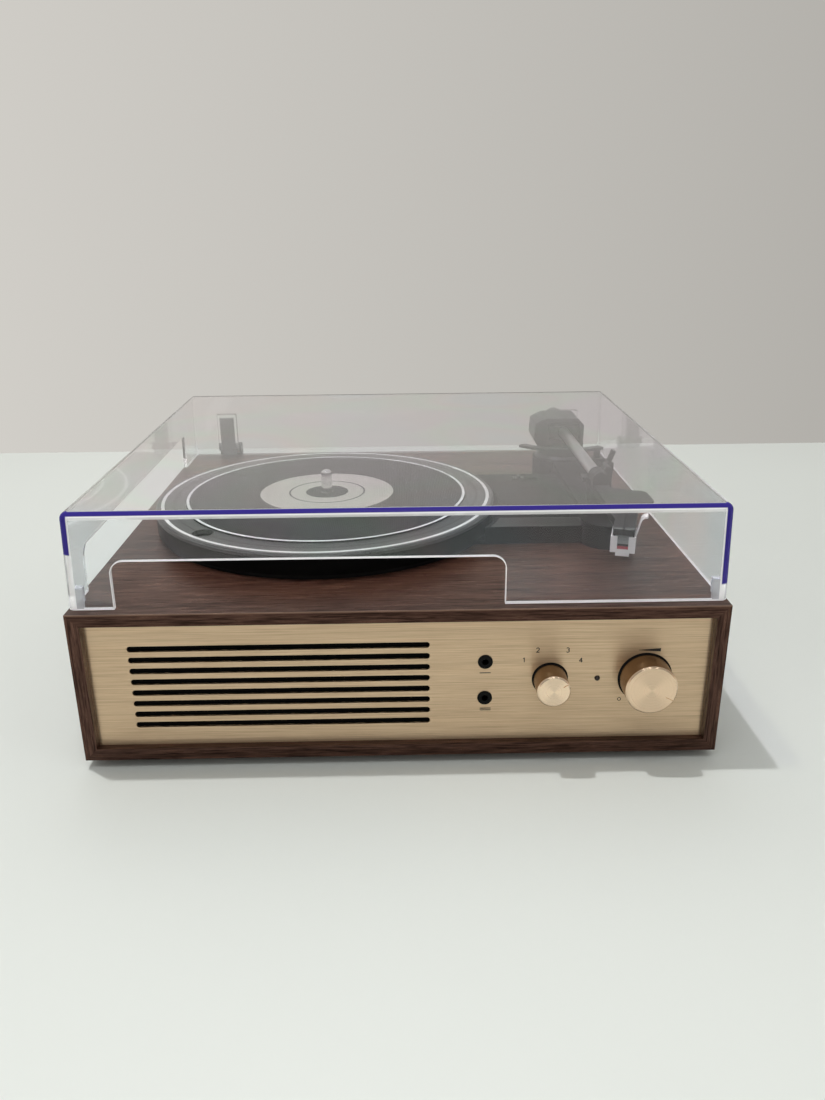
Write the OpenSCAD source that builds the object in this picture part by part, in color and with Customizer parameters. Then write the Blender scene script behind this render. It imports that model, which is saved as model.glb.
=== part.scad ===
// Table-top record player: mitred board cabinet with a brushed front panel and built-in
// speakers, a belt-driven platter on a raised deck, a gimbal tone arm with a cue lift,
// and a clear hinged lid. Millimetres, +Z up, +X right, the front faces -Y.
// The origin is the bottom centre of the whole object, on the table.

/* [Cabinet] */
// Width of the cabinet
cabinet_w = 350; // [346:1:420]
// Depth of the cabinet
cabinet_d = 330; // [318:1:400]
// Height of the cabinet without its feet
cabinet_h = 88; // [84:1:120]
// Thickness of the four mitred boards
board_t = 7; // [6.5:0.5:11]
// Height of the rubber feet
foot_h = 5; // [3:0.5:12]
// Radius of a foot at the cabinet
foot_r = 12; // [8:0.5:16]
// Inset of a foot's centre from the cabinet's edges
foot_inset = 32; // [24:1:60]
// Setback of the front panel behind the boards' front edges
panel_recess = 4.5; // [1:0.5:6]
// Thickness of the front panel
panel_t = 1.5; // [1:0.1:3]
// Thickness of the baffle behind the front panel
baffle_t = 6; // [4:0.5:10]
// Setback of the rear panel behind the boards' rear edges
rear_recess = 3; // [2:0.5:6]
// Thickness of the rear panel
rear_t = 5; // [3:0.5:9]

/* [Speakers] */
// Number of sound slots
slot_count = 8; // [4:1:9]
// Distance between two slots
slot_pitch = 6.6; // [5:0.1:7.2]
// Width of a slot
slot_w = 3.4; // [2:0.1:4.4]
// Drop of the slots' middle below the panel's middle
slot_drop = 1.4; // [0:0.1:2.4]
// Inset of the slots' left ends from the cabinet's left side
slot_inset = 29; // [26:1:40]
// Distance between the slots' right ends and the jacks
slot_jack_gap = 30; // [20:1:50]
// Distance between the two speakers
speaker_gap = 80; // [68:1:96]
// Gap between a speaker's square frame and the boards above and below it
speaker_edge = 3; // [1:0.5:8]
// Depth of a speaker's basket
speaker_depth = 20; // [14:1:30]
// Width of a speaker's frame round its cone
cone_edge = 5; // [4:0.5:8]
// Radius of a speaker's magnet
magnet_r = 18; // [12:0.5:20]
// Length of a speaker's magnet
magnet_len = 9; // [6:0.5:14]

/* [Front controls] */
// Inset of the two jacks from the cabinet's right side
jack_inset = 129; // [122:1:136]
// Height of each jack above or below the panel's middle
jack_rise = 11; // [9:0.5:16]
// Radius of a jack's visible nose
jack_r = 4; // [3:0.1:5]
// Radius of a jack's bore
jack_bore_r = 1.8; // [1.3:0.05:2.2]
// Inset of the source knob from the cabinet's right side
source_inset = 93.6; // [88:0.2:98]
// Radius of the source knob
source_r = 9; // [7:0.5:11]
// Inset of the pilot lamp from the cabinet's right side
led_inset = 67.7; // [62:0.1:74]
// Radius of the pilot lamp
led_r = 1.5; // [1:0.1:2.5]
// Inset of the volume knob from the cabinet's right side
volume_inset = 41.6; // [36:0.2:46]
// Radius of the volume knob
volume_r = 14; // [11:0.5:16]
// Length of both knobs
knob_len = 14.6; // [9:0.1:20]
// Gap between a knob and the panel
knob_gap = 0.4; // [0.3:0.1:1]
// Radius of the knobs' shafts
shaft_r = 3; // [2:0.1:3.4]

/* [Deck] */
// Thickness of the deck's floor
deck_floor = 2.5; // [2:0.1:4]
// Height of the bridge between the platter and the arm
bridge_rise = 11; // [8:0.5:13]
// Depth of the bridge from front to back
bridge_len = 113; // [90:1:130]
// Height of the pad under the tone arm
pad_rise = 15; // [13:0.5:16]
// Radius of the pad round the arm's pillar
pad_r = 21; // [19:0.5:24]
// Width of the pad's neck
pad_neck_w = 20; // [14:1:24]
// Radius of the pad's front lobe
lobe_r = 17; // [14:0.5:20]
// Distance of the lobe in front of the arm tube's end
lobe_lead = 9; // [0:1:16]

/* [Platter] */
// Inset of the spindle from the cabinet's left side
spindle_inset = 127; // [124:1:131]
// Distance of the spindle in front of the cabinet's middle
spindle_lead = 10; // [4:1:14]
// Outer radius of the platter
platter_r = 112; // [108:0.5:114]
// Height of the platter's rim above the cabinet
platter_rise = 16; // [15:0.5:24]
// Radius of the mat
mat_r = 93; // [88:0.5:93]
// Thickness of the mat
mat_t = 2; // [1.2:0.1:4]
// Radius of the spindle
spindle_r = 3.6; // [3:0.05:4]
// Height of the spindle above the mat
spindle_rise = 15.5; // [10:0.5:18]
// Radius of the belt's rim under the platter
rim_r = 78; // [66:0.5:80]
// Radius of the motor pulley
pulley_r = 6; // [4:0.1:6.4]
// Distance of the motor's axis from the spindle
motor_reach = 100; // [97:0.5:101]
// Direction of the motor from the spindle, in degrees
motor_angle = 226; // [200:1:250]
// Radius of the motor's can
motor_r = 17; // [12:0.5:20]
// Length of the motor's can
motor_len = 22; // [14:1:30]
// Width of the drive belt
belt_w = 5; // [3:0.1:5]
// Thickness of the drive belt
belt_t = 0.8; // [0.5:0.1:1.2]

/* [Tone arm] */
// Inset of the arm's pivot from the cabinet's right side
pivot_inset = 49; // [47:0.5:52]
// Distance of the arm's pivot in front of the cabinet's rear
pivot_lead = 79; // [77:0.5:82]
// Height of the arm's axis above the mat
arm_over_mat = 19; // [18.8:0.1:24]
// Radius of the arm's tube
tube_r = 3.75; // [3:0.05:3.8]
// Length of the head shell from the tube's end to the stylus
shell_len = 74; // [70:1:78]
// Radius of the pillar under the bearing housing
pillar_r = 17.5; // [14:0.5:19]
// Depth of the bearing housing
housing_len = 30; // [26:1:31]
// Height of the bearing housing
housing_h = 21; // [19:0.5:22]
// Distance of the resting stylus behind the cabinet's front
stylus_inset = 38; // [36:0.5:42]
// Inward angle of the head shell, in degrees
offset_angle = 17; // [10:1:20]
// Radius of the counterweight
weight_r = 8.5; // [7:0.5:10]
// Length of the counterweight
weight_len = 16; // [12:0.5:20]

/* [Lid] */
// Height of the closed lid's top above the arm's axis
lid_over_arm = 17.5; // [17:0.5:30]
// Thickness of the lid's walls
lid_t = 2.8; // [2:0.1:3.2]
// Setback of the lid's foot from the cabinet's sides
lid_side = 0.4; // [0.2:0.1:3]
// Setback of the lid's foot from the cabinet's front
lid_front = 6; // [4:0.5:7]
// Setback of the lid's foot from the cabinet's rear
lid_rear = 3.4; // [3:0.1:5]
// Inward lean of the lid's walls over their height
lid_draft = 1.2; // [1:0.1:2.4]
// Outer corner radius of the lid
lid_r = 4; // [3.5:0.1:7]
// Height of the lid's two cut-outs
notch_h = 27; // [22:0.5:32]
// Inset of the front cut-out's left end from the cabinet's left side
notch_inset = 25; // [20:1:50]
// Distance of the front cut-out's right end from the spindle
notch_reach = 104; // [80:1:118]
// Inset of the left cut-out from the cabinet's front
side_notch_front = 33; // [26:1:60]
// Inset of the left cut-out from the cabinet's rear
side_notch_back = 46; // [42:1:80]
// Inset of a lid hinge's middle from the cabinet's side
hinge_inset = 31.5; // [27:0.5:45]
// Radius of the hinge knuckles
knuckle_r = 4.5; // [3.5:0.1:5]

/* [Hidden] */
$fn = 64;

// Clearances: a shaft in its bore, faces that pass each other, and pieces set loosely together
running = 0.05;
pass_gap = 0.3;
loose = 0.1;

// The whole object's depth runs from the knobs' faces to the hinges' rear
hinge_back = 2;
knob_reach = knob_gap + knob_len - panel_recess;
rear_reach = hinge_back + knuckle_r;
overall_d = knob_reach + cabinet_d + rear_reach;
front_y = knob_reach - overall_d / 2;

// Heights of the cabinet's bottom, middle and top
floor_z = foot_h;
mid_z = foot_h + cabinet_h / 2;
top_z = foot_h + cabinet_h;
half_w = cabinet_w / 2;
inner_w = cabinet_w - 2 * board_t;
inner_h = cabinet_h - 2 * board_t;

// Places across: the controls keep to the right side, the slots fill what is left of them
jack_x = half_w - jack_inset;
source_x = half_w - source_inset;
led_x = half_w - led_inset;
volume_x = half_w - volume_inset;
slot_left = slot_inset - half_w;
slot_right = jack_x - slot_jack_gap;
slot_len = slot_right - slot_left;
slot_mid_x = (slot_left + slot_right) / 2;
slot_mid_z = mid_z - slot_drop;

// Places of the spindle and of the arm's pivot, v being the depth behind the cabinet's front
spindle_x = spindle_inset - half_w;
spindle_v = cabinet_d / 2 - spindle_lead;
pivot_x = half_w - pivot_inset;
pivot_v = cabinet_d - pivot_lead;
stylus_reach = pivot_v - stylus_inset;
tube_len = stylus_reach - shell_len;

// Depths of the front panel's layers, from the cabinet's front
panel_back = panel_recess + panel_t;
baffle_back = panel_back + baffle_t;
rear_face = cabinet_d - rear_recess;

// Colours
walnut = [0.30, 0.21, 0.17];
gold = [0.74, 0.64, 0.48];
rose_gold = [0.86, 0.72, 0.56];
black = [0.08, 0.08, 0.085];
charcoal = [0.16, 0.16, 0.17];
silver = [0.72, 0.73, 0.74];
brass = [0.76, 0.62, 0.32];
board_green = [0.12, 0.32, 0.20];
clear = [0.80, 0.84, 0.92, 0.35];

// Places a child at a distance across, a depth behind the cabinet's front and a height
module at(x, v, z) {
  translate([x, front_y + v, z]) children();
}

// Carries a front-view outline from one depth to another
module prism(v0, v1) {
  translate([0, front_y + v1, 0]) rotate([90, 0, 0]) linear_extrude(v1 - v0) children();
}

// A round bar that runs from a point towards the back
module bar_back(x, v, z, r, len) {
  at(x, v, z) rotate([-90, 0, 0]) cylinder(r = r, h = len);
}

// A round bar that runs across, about its middle
module bar_across(x, v, z, r, len) {
  at(x, v, z) rotate([0, 90, 0]) cylinder(r = r, h = len, center = true);
}

// A block given by its corners
module block(x0, x1, v0, v1, z0, z1) {
  at(x0, v0, z0) cube([x1 - x0, v1 - v0, z1 - z0]);
}

// A slot outline with round ends
module round_slot(len, w) {
  square([len - w, w], center = true);
  for (side = [-1, 1])
    translate([side * (len - w) / 2, 0]) circle(w / 2);
}

// A screw with a pan head, its head's underside at the origin and its shank downwards
module screw(head_r, head_h, shank_r, shank_len) {
  cylinder(r = head_r, h = head_h);
  translate([0, 0, -shank_len]) cylinder(r = shank_r, h = shank_len);
}

// Cabinet

// Holes in the top board, for the platter's bearing, the motor and the arm's wires
bush_r = 7;
board_hole_gap = 2;
wire_hole_r = 4;
motor_x = spindle_x + motor_reach * cos(motor_angle);
motor_v = spindle_v + motor_reach * sin(motor_angle);

// The front view of one mitred board that lies along the top or the bottom
module mitred_board(len, outer, inner) {
  polygon([[-len / 2, outer], [len / 2, outer], [len / 2 - board_t, inner], [board_t - len / 2, inner]]);
}

module cabinet_top() {
  color(walnut) difference() {
    prism(0, cabinet_d) mitred_board(cabinet_w, top_z, top_z - board_t);
    at(spindle_x, spindle_v, top_z - board_t - 1)
      cylinder(r = bush_r + board_hole_gap, h = board_t + 2);
    at(motor_x, motor_v, top_z - board_t - 1)
      cylinder(r = motor_shaft_r + shaft_hole_gap, h = board_t + 2);
    at(pivot_x, pivot_v, top_z - board_t - 1) cylinder(r = wire_hole_r, h = board_t + 2);
  }
}

module cabinet_bottom() {
  color(walnut) prism(0, cabinet_d) mitred_board(cabinet_w, floor_z, floor_z + board_t);
}

// One upright side board, on the left for side -1 and on the right for side 1
module side_board(side) {
  color(walnut) prism(0, cabinet_d)
    translate([0, mid_z]) rotate(90) mitred_board(cabinet_h, -side * half_w, -side * (half_w - board_t));
}

module cabinet_left() {
  side_board(-1);
}

module cabinet_right() {
  side_board(1);
}

// A rubber foot tapers a little towards the table
foot_taper = 1.5;

module feet() {
  color(black)
    for (x = [foot_inset - half_w, half_w - foot_inset], v = [foot_inset, cabinet_d - foot_inset])
      at(x, v, 0) rotate_extrude()
        polygon([[0, 0], [foot_r - foot_taper - 0.6, 0], [foot_r - foot_taper, 0.6], [foot_r, foot_h],
                 [0, foot_h]]);
}

// Rear panel, its screws and the terminals

screw_head_r = 3;
screw_head_h = 1.8;
screw_shank_r = 1.5;
screw_edge = 5;
terminal_inset = 80;
terminal_x = half_w - terminal_inset;
terminal_w = 64;
terminal_h = 30;
terminal_t = 1.5;
socket_r = 4.15;
socket_bore_r = 1.6;
socket_bore_len = 8;
socket_spacing = 18;
socket_shift = -14;
socket_inside = 8;
inlet_shift = 20;
inlet_r = 5;
inlet_bore_r = 3;
inlet_pin_r = 1;

// Runs its child at each rear screw, two rows of three
module rear_screw_places() {
  for (x = [-1, 0, 1], z = [-1, 1])
    at(x * (inner_w / 2 - screw_edge), rear_face, mid_z + z * (inner_h / 2 - screw_edge))
      rotate([-90, 0, 0]) children();
}

module rear_panel() {
  color(black) difference() {
    prism(rear_face - rear_t, rear_face) difference() {
      translate([0, mid_z]) square([inner_w, inner_h], center = true);
      translate([terminal_x, mid_z])
        square([terminal_w - 2 * board_hole_gap, terminal_h - 2 * board_hole_gap], center = true);
    }
    rear_screw_places() translate([0, 0, -rear_t - 1]) cylinder(r = screw_shank_r, h = rear_t + 2);
  }
}

module rear_screws() {
  color(charcoal) rear_screw_places() screw(screw_head_r, screw_head_h, screw_shank_r, rear_t);
}

module terminal_plate() {
  color(black) prism(rear_face, rear_face + terminal_t) translate([terminal_x, mid_z]) difference() {
    square([terminal_w, terminal_h], center = true);
    for (side = [-0.5, 0.5])
      translate([socket_shift + side * socket_spacing, 0]) circle(socket_r);
    translate([inlet_shift, 0]) circle(inlet_r);
  }
}

module line_out_sockets() {
  reach = cabinet_d + rear_reach;
  flange_v = rear_face + terminal_t;
  color(silver) for (side = [-0.5, 0.5])
    difference() {
      union() {
        bar_back(terminal_x + socket_shift + side * socket_spacing, rear_face - socket_inside, mid_z,
                 socket_r, reach - rear_face + socket_inside);
        bar_back(terminal_x + socket_shift + side * socket_spacing, flange_v, mid_z, socket_r + 1.6, 1);
      }
      bar_back(terminal_x + socket_shift + side * socket_spacing, reach - socket_bore_len, mid_z,
               socket_bore_r, socket_bore_len + 1);
    }
}

module power_inlet() {
  face_v = rear_face + terminal_t + 1;
  color(charcoal) {
    difference() {
      union() {
        bar_back(terminal_x + inlet_shift, rear_face - socket_inside, mid_z, inlet_r,
                 socket_inside + terminal_t);
        bar_back(terminal_x + inlet_shift, face_v - 1, mid_z, inlet_r + 1.5, 1);
      }
      bar_back(terminal_x + inlet_shift, face_v - 9, mid_z, inlet_bore_r, 10);
    }
    bar_back(terminal_x + inlet_shift, face_v - 9, mid_z, inlet_pin_r, 8);
  }
}

// Front panel, baffle and speakers

cloth_t = 0.6;
cloth_margin = 7;
control_bush_r = shaft_r + 1.5;
slots_h = (slot_count - 1) * slot_pitch + slot_w;

// The holes that every layer of the front has for the controls
module control_holes() {
  for (side = [-1, 1])
    translate([jack_x, mid_z + side * jack_rise]) circle(jack_r + loose);
  for (x = [source_x, volume_x])
    translate([x, mid_z]) circle(control_bush_r + loose);
  translate([led_x, mid_z]) circle(led_r + loose);
}

module front_panel() {
  color(gold) prism(panel_recess, panel_back) difference() {
    translate([0, mid_z]) square([inner_w, inner_h], center = true);
    for (i = [0:slot_count - 1])
      translate([slot_mid_x, slot_mid_z + (i - (slot_count - 1) / 2) * slot_pitch])
        round_slot(slot_len, slot_w);
    control_holes();
  }
}

module cloth_outline() {
  translate([slot_mid_x, slot_mid_z])
    square([slot_len + 2 * cloth_margin, slots_h + 2 * cloth_margin], center = true);
}

// Runs its child at the middle of each speaker, turned so that it points to the back
module speaker_places() {
  for (side = [-0.5, 0.5])
    at(slot_mid_x + side * speaker_gap, baffle_back, mid_z) rotate([-90, 0, 0]) children();
}

module speaker_baffle() {
  color(black) difference() {
    prism(panel_back, baffle_back) difference() {
      translate([0, mid_z]) square([inner_w, inner_h], center = true);
      control_holes();
    }
    prism(panel_back - 1, panel_back + cloth_t) cloth_outline();
    speaker_places() translate([0, 0, -baffle_t - 1]) cylinder(r = cone_r, h = baffle_t + 2);
  }
}

module grille_cloth() {
  color(black) prism(panel_back, panel_back + cloth_t) cloth_outline();
}

speaker_size = inner_h - 2 * speaker_edge;
cone_r = speaker_size / 2 - cone_edge;
frame_t = 2;
surround_w = 3;
coil_r = 9;
basket_wall = 1.5;
basket_window = 12;
window_edge = 2;
cone_clear = 8;
cone_t = 1.2;
cone_set = 0.5;

module speaker_frames() {
  color(charcoal) speaker_places() difference() {
    union() {
      linear_extrude(frame_t) difference() {
        square(speaker_size, center = true);
        circle(cone_r + 2);
      }
      rotate_extrude()
        polygon([[cone_r + 2, frame_t], [cone_r + 2 + basket_wall, frame_t], [magnet_r, speaker_depth],
                 [coil_r + 1, speaker_depth], [coil_r + 1, speaker_depth - basket_wall],
                 [magnet_r - basket_wall, speaker_depth - basket_wall]]);
    }
    for (turn = [0, 90])
      rotate(turn) translate([-speaker_size, -basket_window / 2, frame_t + window_edge])
        cube([2 * speaker_size, basket_window, speaker_depth - frame_t - 3 * window_edge]);
  }
}

module speaker_cones() {
  deep = speaker_depth - cone_clear;
  color(black) speaker_places() rotate_extrude()
    polygon([[0, deep - 2 * cone_t], [coil_r, deep], [cone_r - surround_w, cone_set],
             [cone_r + surround_w / 2, cone_set], [cone_r + surround_w / 2, cone_set + cone_t],
             [cone_r - surround_w, cone_set + cone_t], [coil_r + cone_t / 2, deep + cone_t],
             [0, deep - cone_t]]);
}

module speaker_magnets() {
  color(charcoal) speaker_places() translate([0, 0, speaker_depth]) cylinder(r = magnet_r, h = magnet_len);
}

// Amplifier inside the cabinet

amp_inset = 115;
amp_x = half_w - amp_inset;
amp_v = 70;
amp_w = 100;
amp_d = 70;
amp_t = 1.6;
standoff_r = 3;
standoff_h = 8;
standoff_edge = 6;
cap_r = 5;
cap_h = 14;
cap_pitch = 16;
cap_edge = 20;
chip_size = 18;
chip_h = 4;
chip_x = 16;
chip_v = 38;
sink_w = 30;
sink_d = 16;
sink_h = 22;
sink_edge = 6;
sink_wall = 3;
fin_t = 2;
fin_count = 6;
inner_floor = floor_z + board_t;
amp_z = inner_floor + standoff_h;

module board_standoffs() {
  color(brass)
    for (x = [standoff_edge, amp_w - standoff_edge], v = [standoff_edge, amp_d - standoff_edge])
      at(amp_x + x, amp_v + v, inner_floor) cylinder(r = standoff_r, h = standoff_h);
}

module amplifier_board() {
  color(board_green) {
    block(amp_x, amp_x + amp_w, amp_v, amp_v + amp_d, amp_z, amp_z + amp_t);
    for (i = [0:2])
      at(amp_x + cap_edge + cap_pitch * i, amp_v + cap_edge, amp_z + amp_t) cylinder(r = cap_r, h = cap_h);
    block(amp_x + chip_x, amp_x + chip_x + chip_size, amp_v + chip_v, amp_v + chip_v + chip_size,
          amp_z + amp_t, amp_z + amp_t + chip_h);
  }
}

module heat_sink() {
  sink_x = amp_x + amp_w - sink_w - sink_edge;
  sink_v = amp_v + amp_d - sink_d - 2 * sink_edge;
  fin_pitch = (sink_w - fin_t) / (fin_count - 1);
  color(silver) {
    block(sink_x, sink_x + sink_w, sink_v, sink_v + sink_wall, amp_z + amp_t, amp_z + amp_t + sink_h);
    for (i = [0:fin_count - 1])
      block(sink_x + fin_pitch * i, sink_x + fin_pitch * i + fin_t, sink_v + sink_wall, sink_v + sink_d,
            amp_z + amp_t, amp_z + amp_t + sink_h);
  }
}

// Front controls

control_can_r = 8.5;
control_can_len = 10;
shaft_inside = 8;
shaft_in_knob = 9;
knob_back = panel_recess - knob_gap;

// A control's can behind the baffle, with the bush that its shaft turns in
module control_body(x) {
  difference() {
    union() {
      bar_back(x, baffle_back, mid_z, control_can_r, control_can_len);
      bar_back(x, panel_recess, mid_z, control_bush_r, baffle_back - panel_recess);
    }
    bar_back(x, panel_recess - 1, mid_z, shaft_r + running, baffle_back + shaft_inside + 1 - panel_recess);
  }
}

module control_shaft(x) {
  bar_back(x, knob_back - shaft_in_knob, mid_z, shaft_r,
           baffle_back + shaft_inside - pass_gap - knob_back + shaft_in_knob);
}

// A spun knob: a bevelled drum with a flat face and a pointer cut out to its rim
module knob(x, r, pointer_angle) {
  bevel = 0.8;
  pointer_from = 0.62 * r;
  pointer_w = 0.8;
  pointer_t = 0.4;
  at(x, knob_back, mid_z) rotate([90, 0, 0]) difference() {
    rotate_extrude()
      polygon([[0, 0], [r - bevel, 0], [r, bevel], [r, knob_len - bevel], [r - bevel, knob_len],
               [0, knob_len]]);
    translate([0, 0, -1]) cylinder(r = shaft_r, h = shaft_in_knob + 1);
    rotate(pointer_angle) translate([pointer_from, -pointer_w / 2, knob_len - pointer_t])
      cube([r, pointer_w, pointer_t + 1]);
  }
}

volume_pointer = -27;
source_pointer = 32;

module volume_control() {
  color(charcoal) control_body(volume_x);
}

module volume_shaft() {
  color(silver) control_shaft(volume_x);
}

module volume_knob() {
  color(rose_gold) knob(volume_x, volume_r, volume_pointer);
}

module source_switch() {
  color(charcoal) control_body(source_x);
}

module source_shaft() {
  color(silver) control_shaft(source_x);
}

module source_knob() {
  color(rose_gold) knob(source_x, source_r, source_pointer);
}

jack_proud = 0.6;
jack_bore_len = 14;
jack_body = 11;
jack_body_len = 13;

// A jack: a nose through the panel and the baffle, and a square body behind
module jack(side) {
  z = mid_z + side * jack_rise;
  color(black) difference() {
    union() {
      bar_back(jack_x, panel_recess - jack_proud, z, jack_r, baffle_back - panel_recess + jack_proud);
      block(jack_x - jack_body / 2, jack_x + jack_body / 2, baffle_back, baffle_back + jack_body_len,
            z - jack_body / 2 + 0.5, z + jack_body / 2 - 0.5);
    }
    bar_back(jack_x, panel_recess - jack_proud - 1, z, jack_bore_r, jack_bore_len + 1);
  }
}

module aux_jack() {
  jack(1);
}

module headphone_jack() {
  jack(-1);
}

module pilot_lamp() {
  color(charcoal) {
    bar_back(led_x, panel_recess, mid_z, led_r, baffle_back - panel_recess + 2);
    at(led_x, panel_recess, mid_z) sphere(led_r);
  }
}

// Deck

mat_recess = 1;
mat_rise = platter_rise - mat_recess + mat_t;
arm_rise = mat_rise + arm_over_mat;
bridge_lead = 55;
bridge_gap = 3.5;
bridge_front = spindle_v - bridge_lead;
neck_shift = 1;
lobe_shift = 5;
lobe_reach = tube_len + lobe_lead;
cue_reach = 46;
cue_angle = 25;
cue_pad_r = 12;
cue_x = pivot_x + cue_reach * sin(cue_angle);
cue_v = pivot_v - cue_reach * cos(cue_angle);
switch_travel = 10;
switch_len = 8;
switch_w = 6;
switch_depth = 3;
switch_edge = 16;
switch_slot = switch_len + switch_travel + 2 * pass_gap;
switch_x = (spindle_x + platter_r + bridge_gap + pivot_x + neck_shift - pad_neck_w / 2 - switch_slot) / 2;
switch_v = bridge_front + bridge_len - switch_edge;
inlay_len = 17;
inlay_edge = 1.5;
inlay_t = 0.8;

// Plan outline of the bridge between the platter and the arm's pad
module bridge_outline(edge, v0, v1) {
  difference() {
    translate([spindle_x, front_y + v0])
      square([pivot_x + neck_shift - pad_neck_w / 2 + 2 - edge - spindle_x, v1 - v0]);
    translate([spindle_x, front_y + spindle_v]) circle(platter_r + bridge_gap + edge);
  }
}

// Plan outline of the arm's pad: a round pad, a neck, a front lobe and the cue lift's ear
module pad_outline() {
  translate([pivot_x, front_y + pivot_v]) {
    circle(pad_r);
    translate([neck_shift - pad_neck_w / 2, -lobe_reach]) square([pad_neck_w, lobe_reach]);
    translate([lobe_shift, -lobe_reach]) circle(lobe_r);
  }
  translate([cue_x, front_y + cue_v]) circle(cue_pad_r);
  translate([pivot_x, front_y + cue_v - cue_pad_r]) square([cue_x - pivot_x, 2 * cue_pad_r]);
}

module deck_plate() {
  color(black) difference() {
    union() {
      translate([0, 0, top_z]) linear_extrude(deck_floor) {
        translate([spindle_x, front_y + spindle_v]) circle(platter_r - 2);
        translate([spindle_x, front_y + bridge_front])
          square([pivot_x + neck_shift - spindle_x, bridge_len]);
      }
      translate([0, 0, top_z]) linear_extrude(bridge_rise)
        bridge_outline(0, bridge_front, bridge_front + bridge_len);
      translate([0, 0, top_z]) linear_extrude(pad_rise) pad_outline();
    }
    translate([0, 0, top_z + bridge_rise - inlay_t]) linear_extrude(inlay_t + 1) inlay_outline();
    block(switch_x, switch_x + switch_slot, switch_v, switch_v + switch_w + 2 * pass_gap,
          top_z + bridge_rise - switch_depth, top_z + bridge_rise + 1);
    at(spindle_x, spindle_v, top_z - 1) cylinder(r = bush_r, h = deck_floor + 2);
    at(motor_x, motor_v, top_z - 1) cylinder(r = pulley_r + 1.5, h = deck_floor + 2);
  }
}

module inlay_outline() {
  bridge_outline(3, bridge_front + inlay_edge, bridge_front + inlay_edge + inlay_len);
}

module bridge_inlay() {
  color(charcoal) translate([0, 0, top_z + bridge_rise - inlay_t]) linear_extrude(inlay_t) inlay_outline();
}

module speed_switch() {
  color(charcoal) {
    block(switch_x + pass_gap, switch_x + pass_gap + switch_len, switch_v + pass_gap,
          switch_v + pass_gap + switch_w, top_z + bridge_rise - switch_depth + pass_gap,
          top_z + bridge_rise + 1.2);
    block(switch_x + pass_gap + switch_len / 2 - 1, switch_x + pass_gap + switch_len / 2 + 1,
          switch_v + pass_gap, switch_v + pass_gap + switch_w, top_z + bridge_rise + 1.2,
          top_z + bridge_rise + 2.6);
  }
}

// Platter, its bearing and its drive

bush_below = 22;
bush_floor = 2;
bush_flange_r = 11;
bush_flange_h = 3;
ball_r = 2;
bearing_low = top_z - bush_below;
bearing_shaft_r = spindle_r + 0.4;

module platter_bearing() {
  color(brass) at(spindle_x, spindle_v, bearing_low) difference() {
    union() {
      translate([0, 0, -bush_floor]) cylinder(r = bush_r, h = bush_below + bush_floor + deck_floor);
      translate([0, 0, bush_below + deck_floor]) cylinder(r = bush_flange_r, h = bush_flange_h);
    }
    cylinder(r = bearing_shaft_r + running, h = bush_below + deck_floor + bush_flange_h + 1);
  }
}

module thrust_ball() {
  color(silver) at(spindle_x, spindle_v, bearing_low + ball_r) sphere(ball_r);
}

spindle_low = bearing_low + 2 * ball_r + running;
spindle_top = top_z + mat_rise + spindle_rise;
dome_h = 2;

// The bearing shaft ends in a shoulder at the mat's face. The record post above it has a shallow dome.
module spindle() {
  dome_r = (spindle_r * spindle_r + dome_h * dome_h) / (2 * dome_h);
  color(silver) at(spindle_x, spindle_v, 0) {
    translate([0, 0, spindle_low]) cylinder(r = bearing_shaft_r, h = top_z + mat_rise - spindle_low);
    translate([0, 0, top_z + mat_rise]) cylinder(r = spindle_r, h = spindle_rise - dome_h);
    intersection() {
      translate([0, 0, spindle_top - dome_h]) cylinder(r = spindle_r, h = dome_h);
      translate([0, 0, spindle_top - dome_r]) sphere(dome_r);
    }
  }
}

plate_t = 3;
skirt_t = 3;
skirt_gap = deck_floor + 0.6;
hub_r = 14;
access_r = 6.5;
rim_bevel = 1;
plate_low = platter_rise - mat_recess - plate_t;
hub_low = deck_floor + bush_flange_h + pass_gap;
rim_low = deck_floor + 2;
rib_count = 8;
rib_t = 2;

// A shallow dish turned over: plate, bevelled rim band, skirt, drive rim and hub, with ribs below
module platter() {
  color(charcoal) at(spindle_x, spindle_v, top_z) difference() {
    union() {
      rotate_extrude() {
        polygon([[bearing_shaft_r, plate_low], [platter_r, plate_low],
                 [platter_r, platter_rise - rim_bevel],
                 [platter_r - rim_bevel, platter_rise], [mat_r + loose, platter_rise],
                 [mat_r + loose, platter_rise - mat_recess],
                 [bearing_shaft_r, platter_rise - mat_recess]]);
        translate([platter_r - skirt_t, skirt_gap]) square([skirt_t, plate_low - skirt_gap]);
        translate([rim_r - skirt_t, rim_low]) square([skirt_t, plate_low - rim_low]);
        translate([bearing_shaft_r, hub_low]) square([hub_r - bearing_shaft_r, plate_low - hub_low]);
      }
      for (i = [0:rib_count - 1])
        rotate(360 / rib_count * i) translate([hub_r - 1, -rib_t / 2, plate_low - 4])
          cube([rim_r - skirt_t - hub_r + 2, rib_t, 4]);
    }
    rotate(motor_angle) translate([motor_reach, 0, plate_low - 1])
      cylinder(r = access_r, h = platter_rise - plate_low + 2);
  }
}

module platter_mat() {
  color(black) at(spindle_x, spindle_v, top_z + platter_rise - mat_recess) difference() {
    cylinder(r = mat_r, h = mat_t);
    translate([0, 0, -1]) cylinder(r = bearing_shaft_r, h = mat_t + 2);
  }
}

grommet_h = 2;
grommet_r = 3.5;
grommet_reach = 12;
motor_shaft_r = 1.2;
motor_shaft_inside = 8;
shaft_hole_gap = 3;
motor_top = top_z - board_t - grommet_h;
pulley_low = deck_floor + 1.5;
pulley_top = plate_low - 0.5;
flange_h = 0.8;
flange_w = 0.9;
belt_gap = 0.3;
belt_low = (pulley_low + pulley_top - belt_w) / 2;

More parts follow.
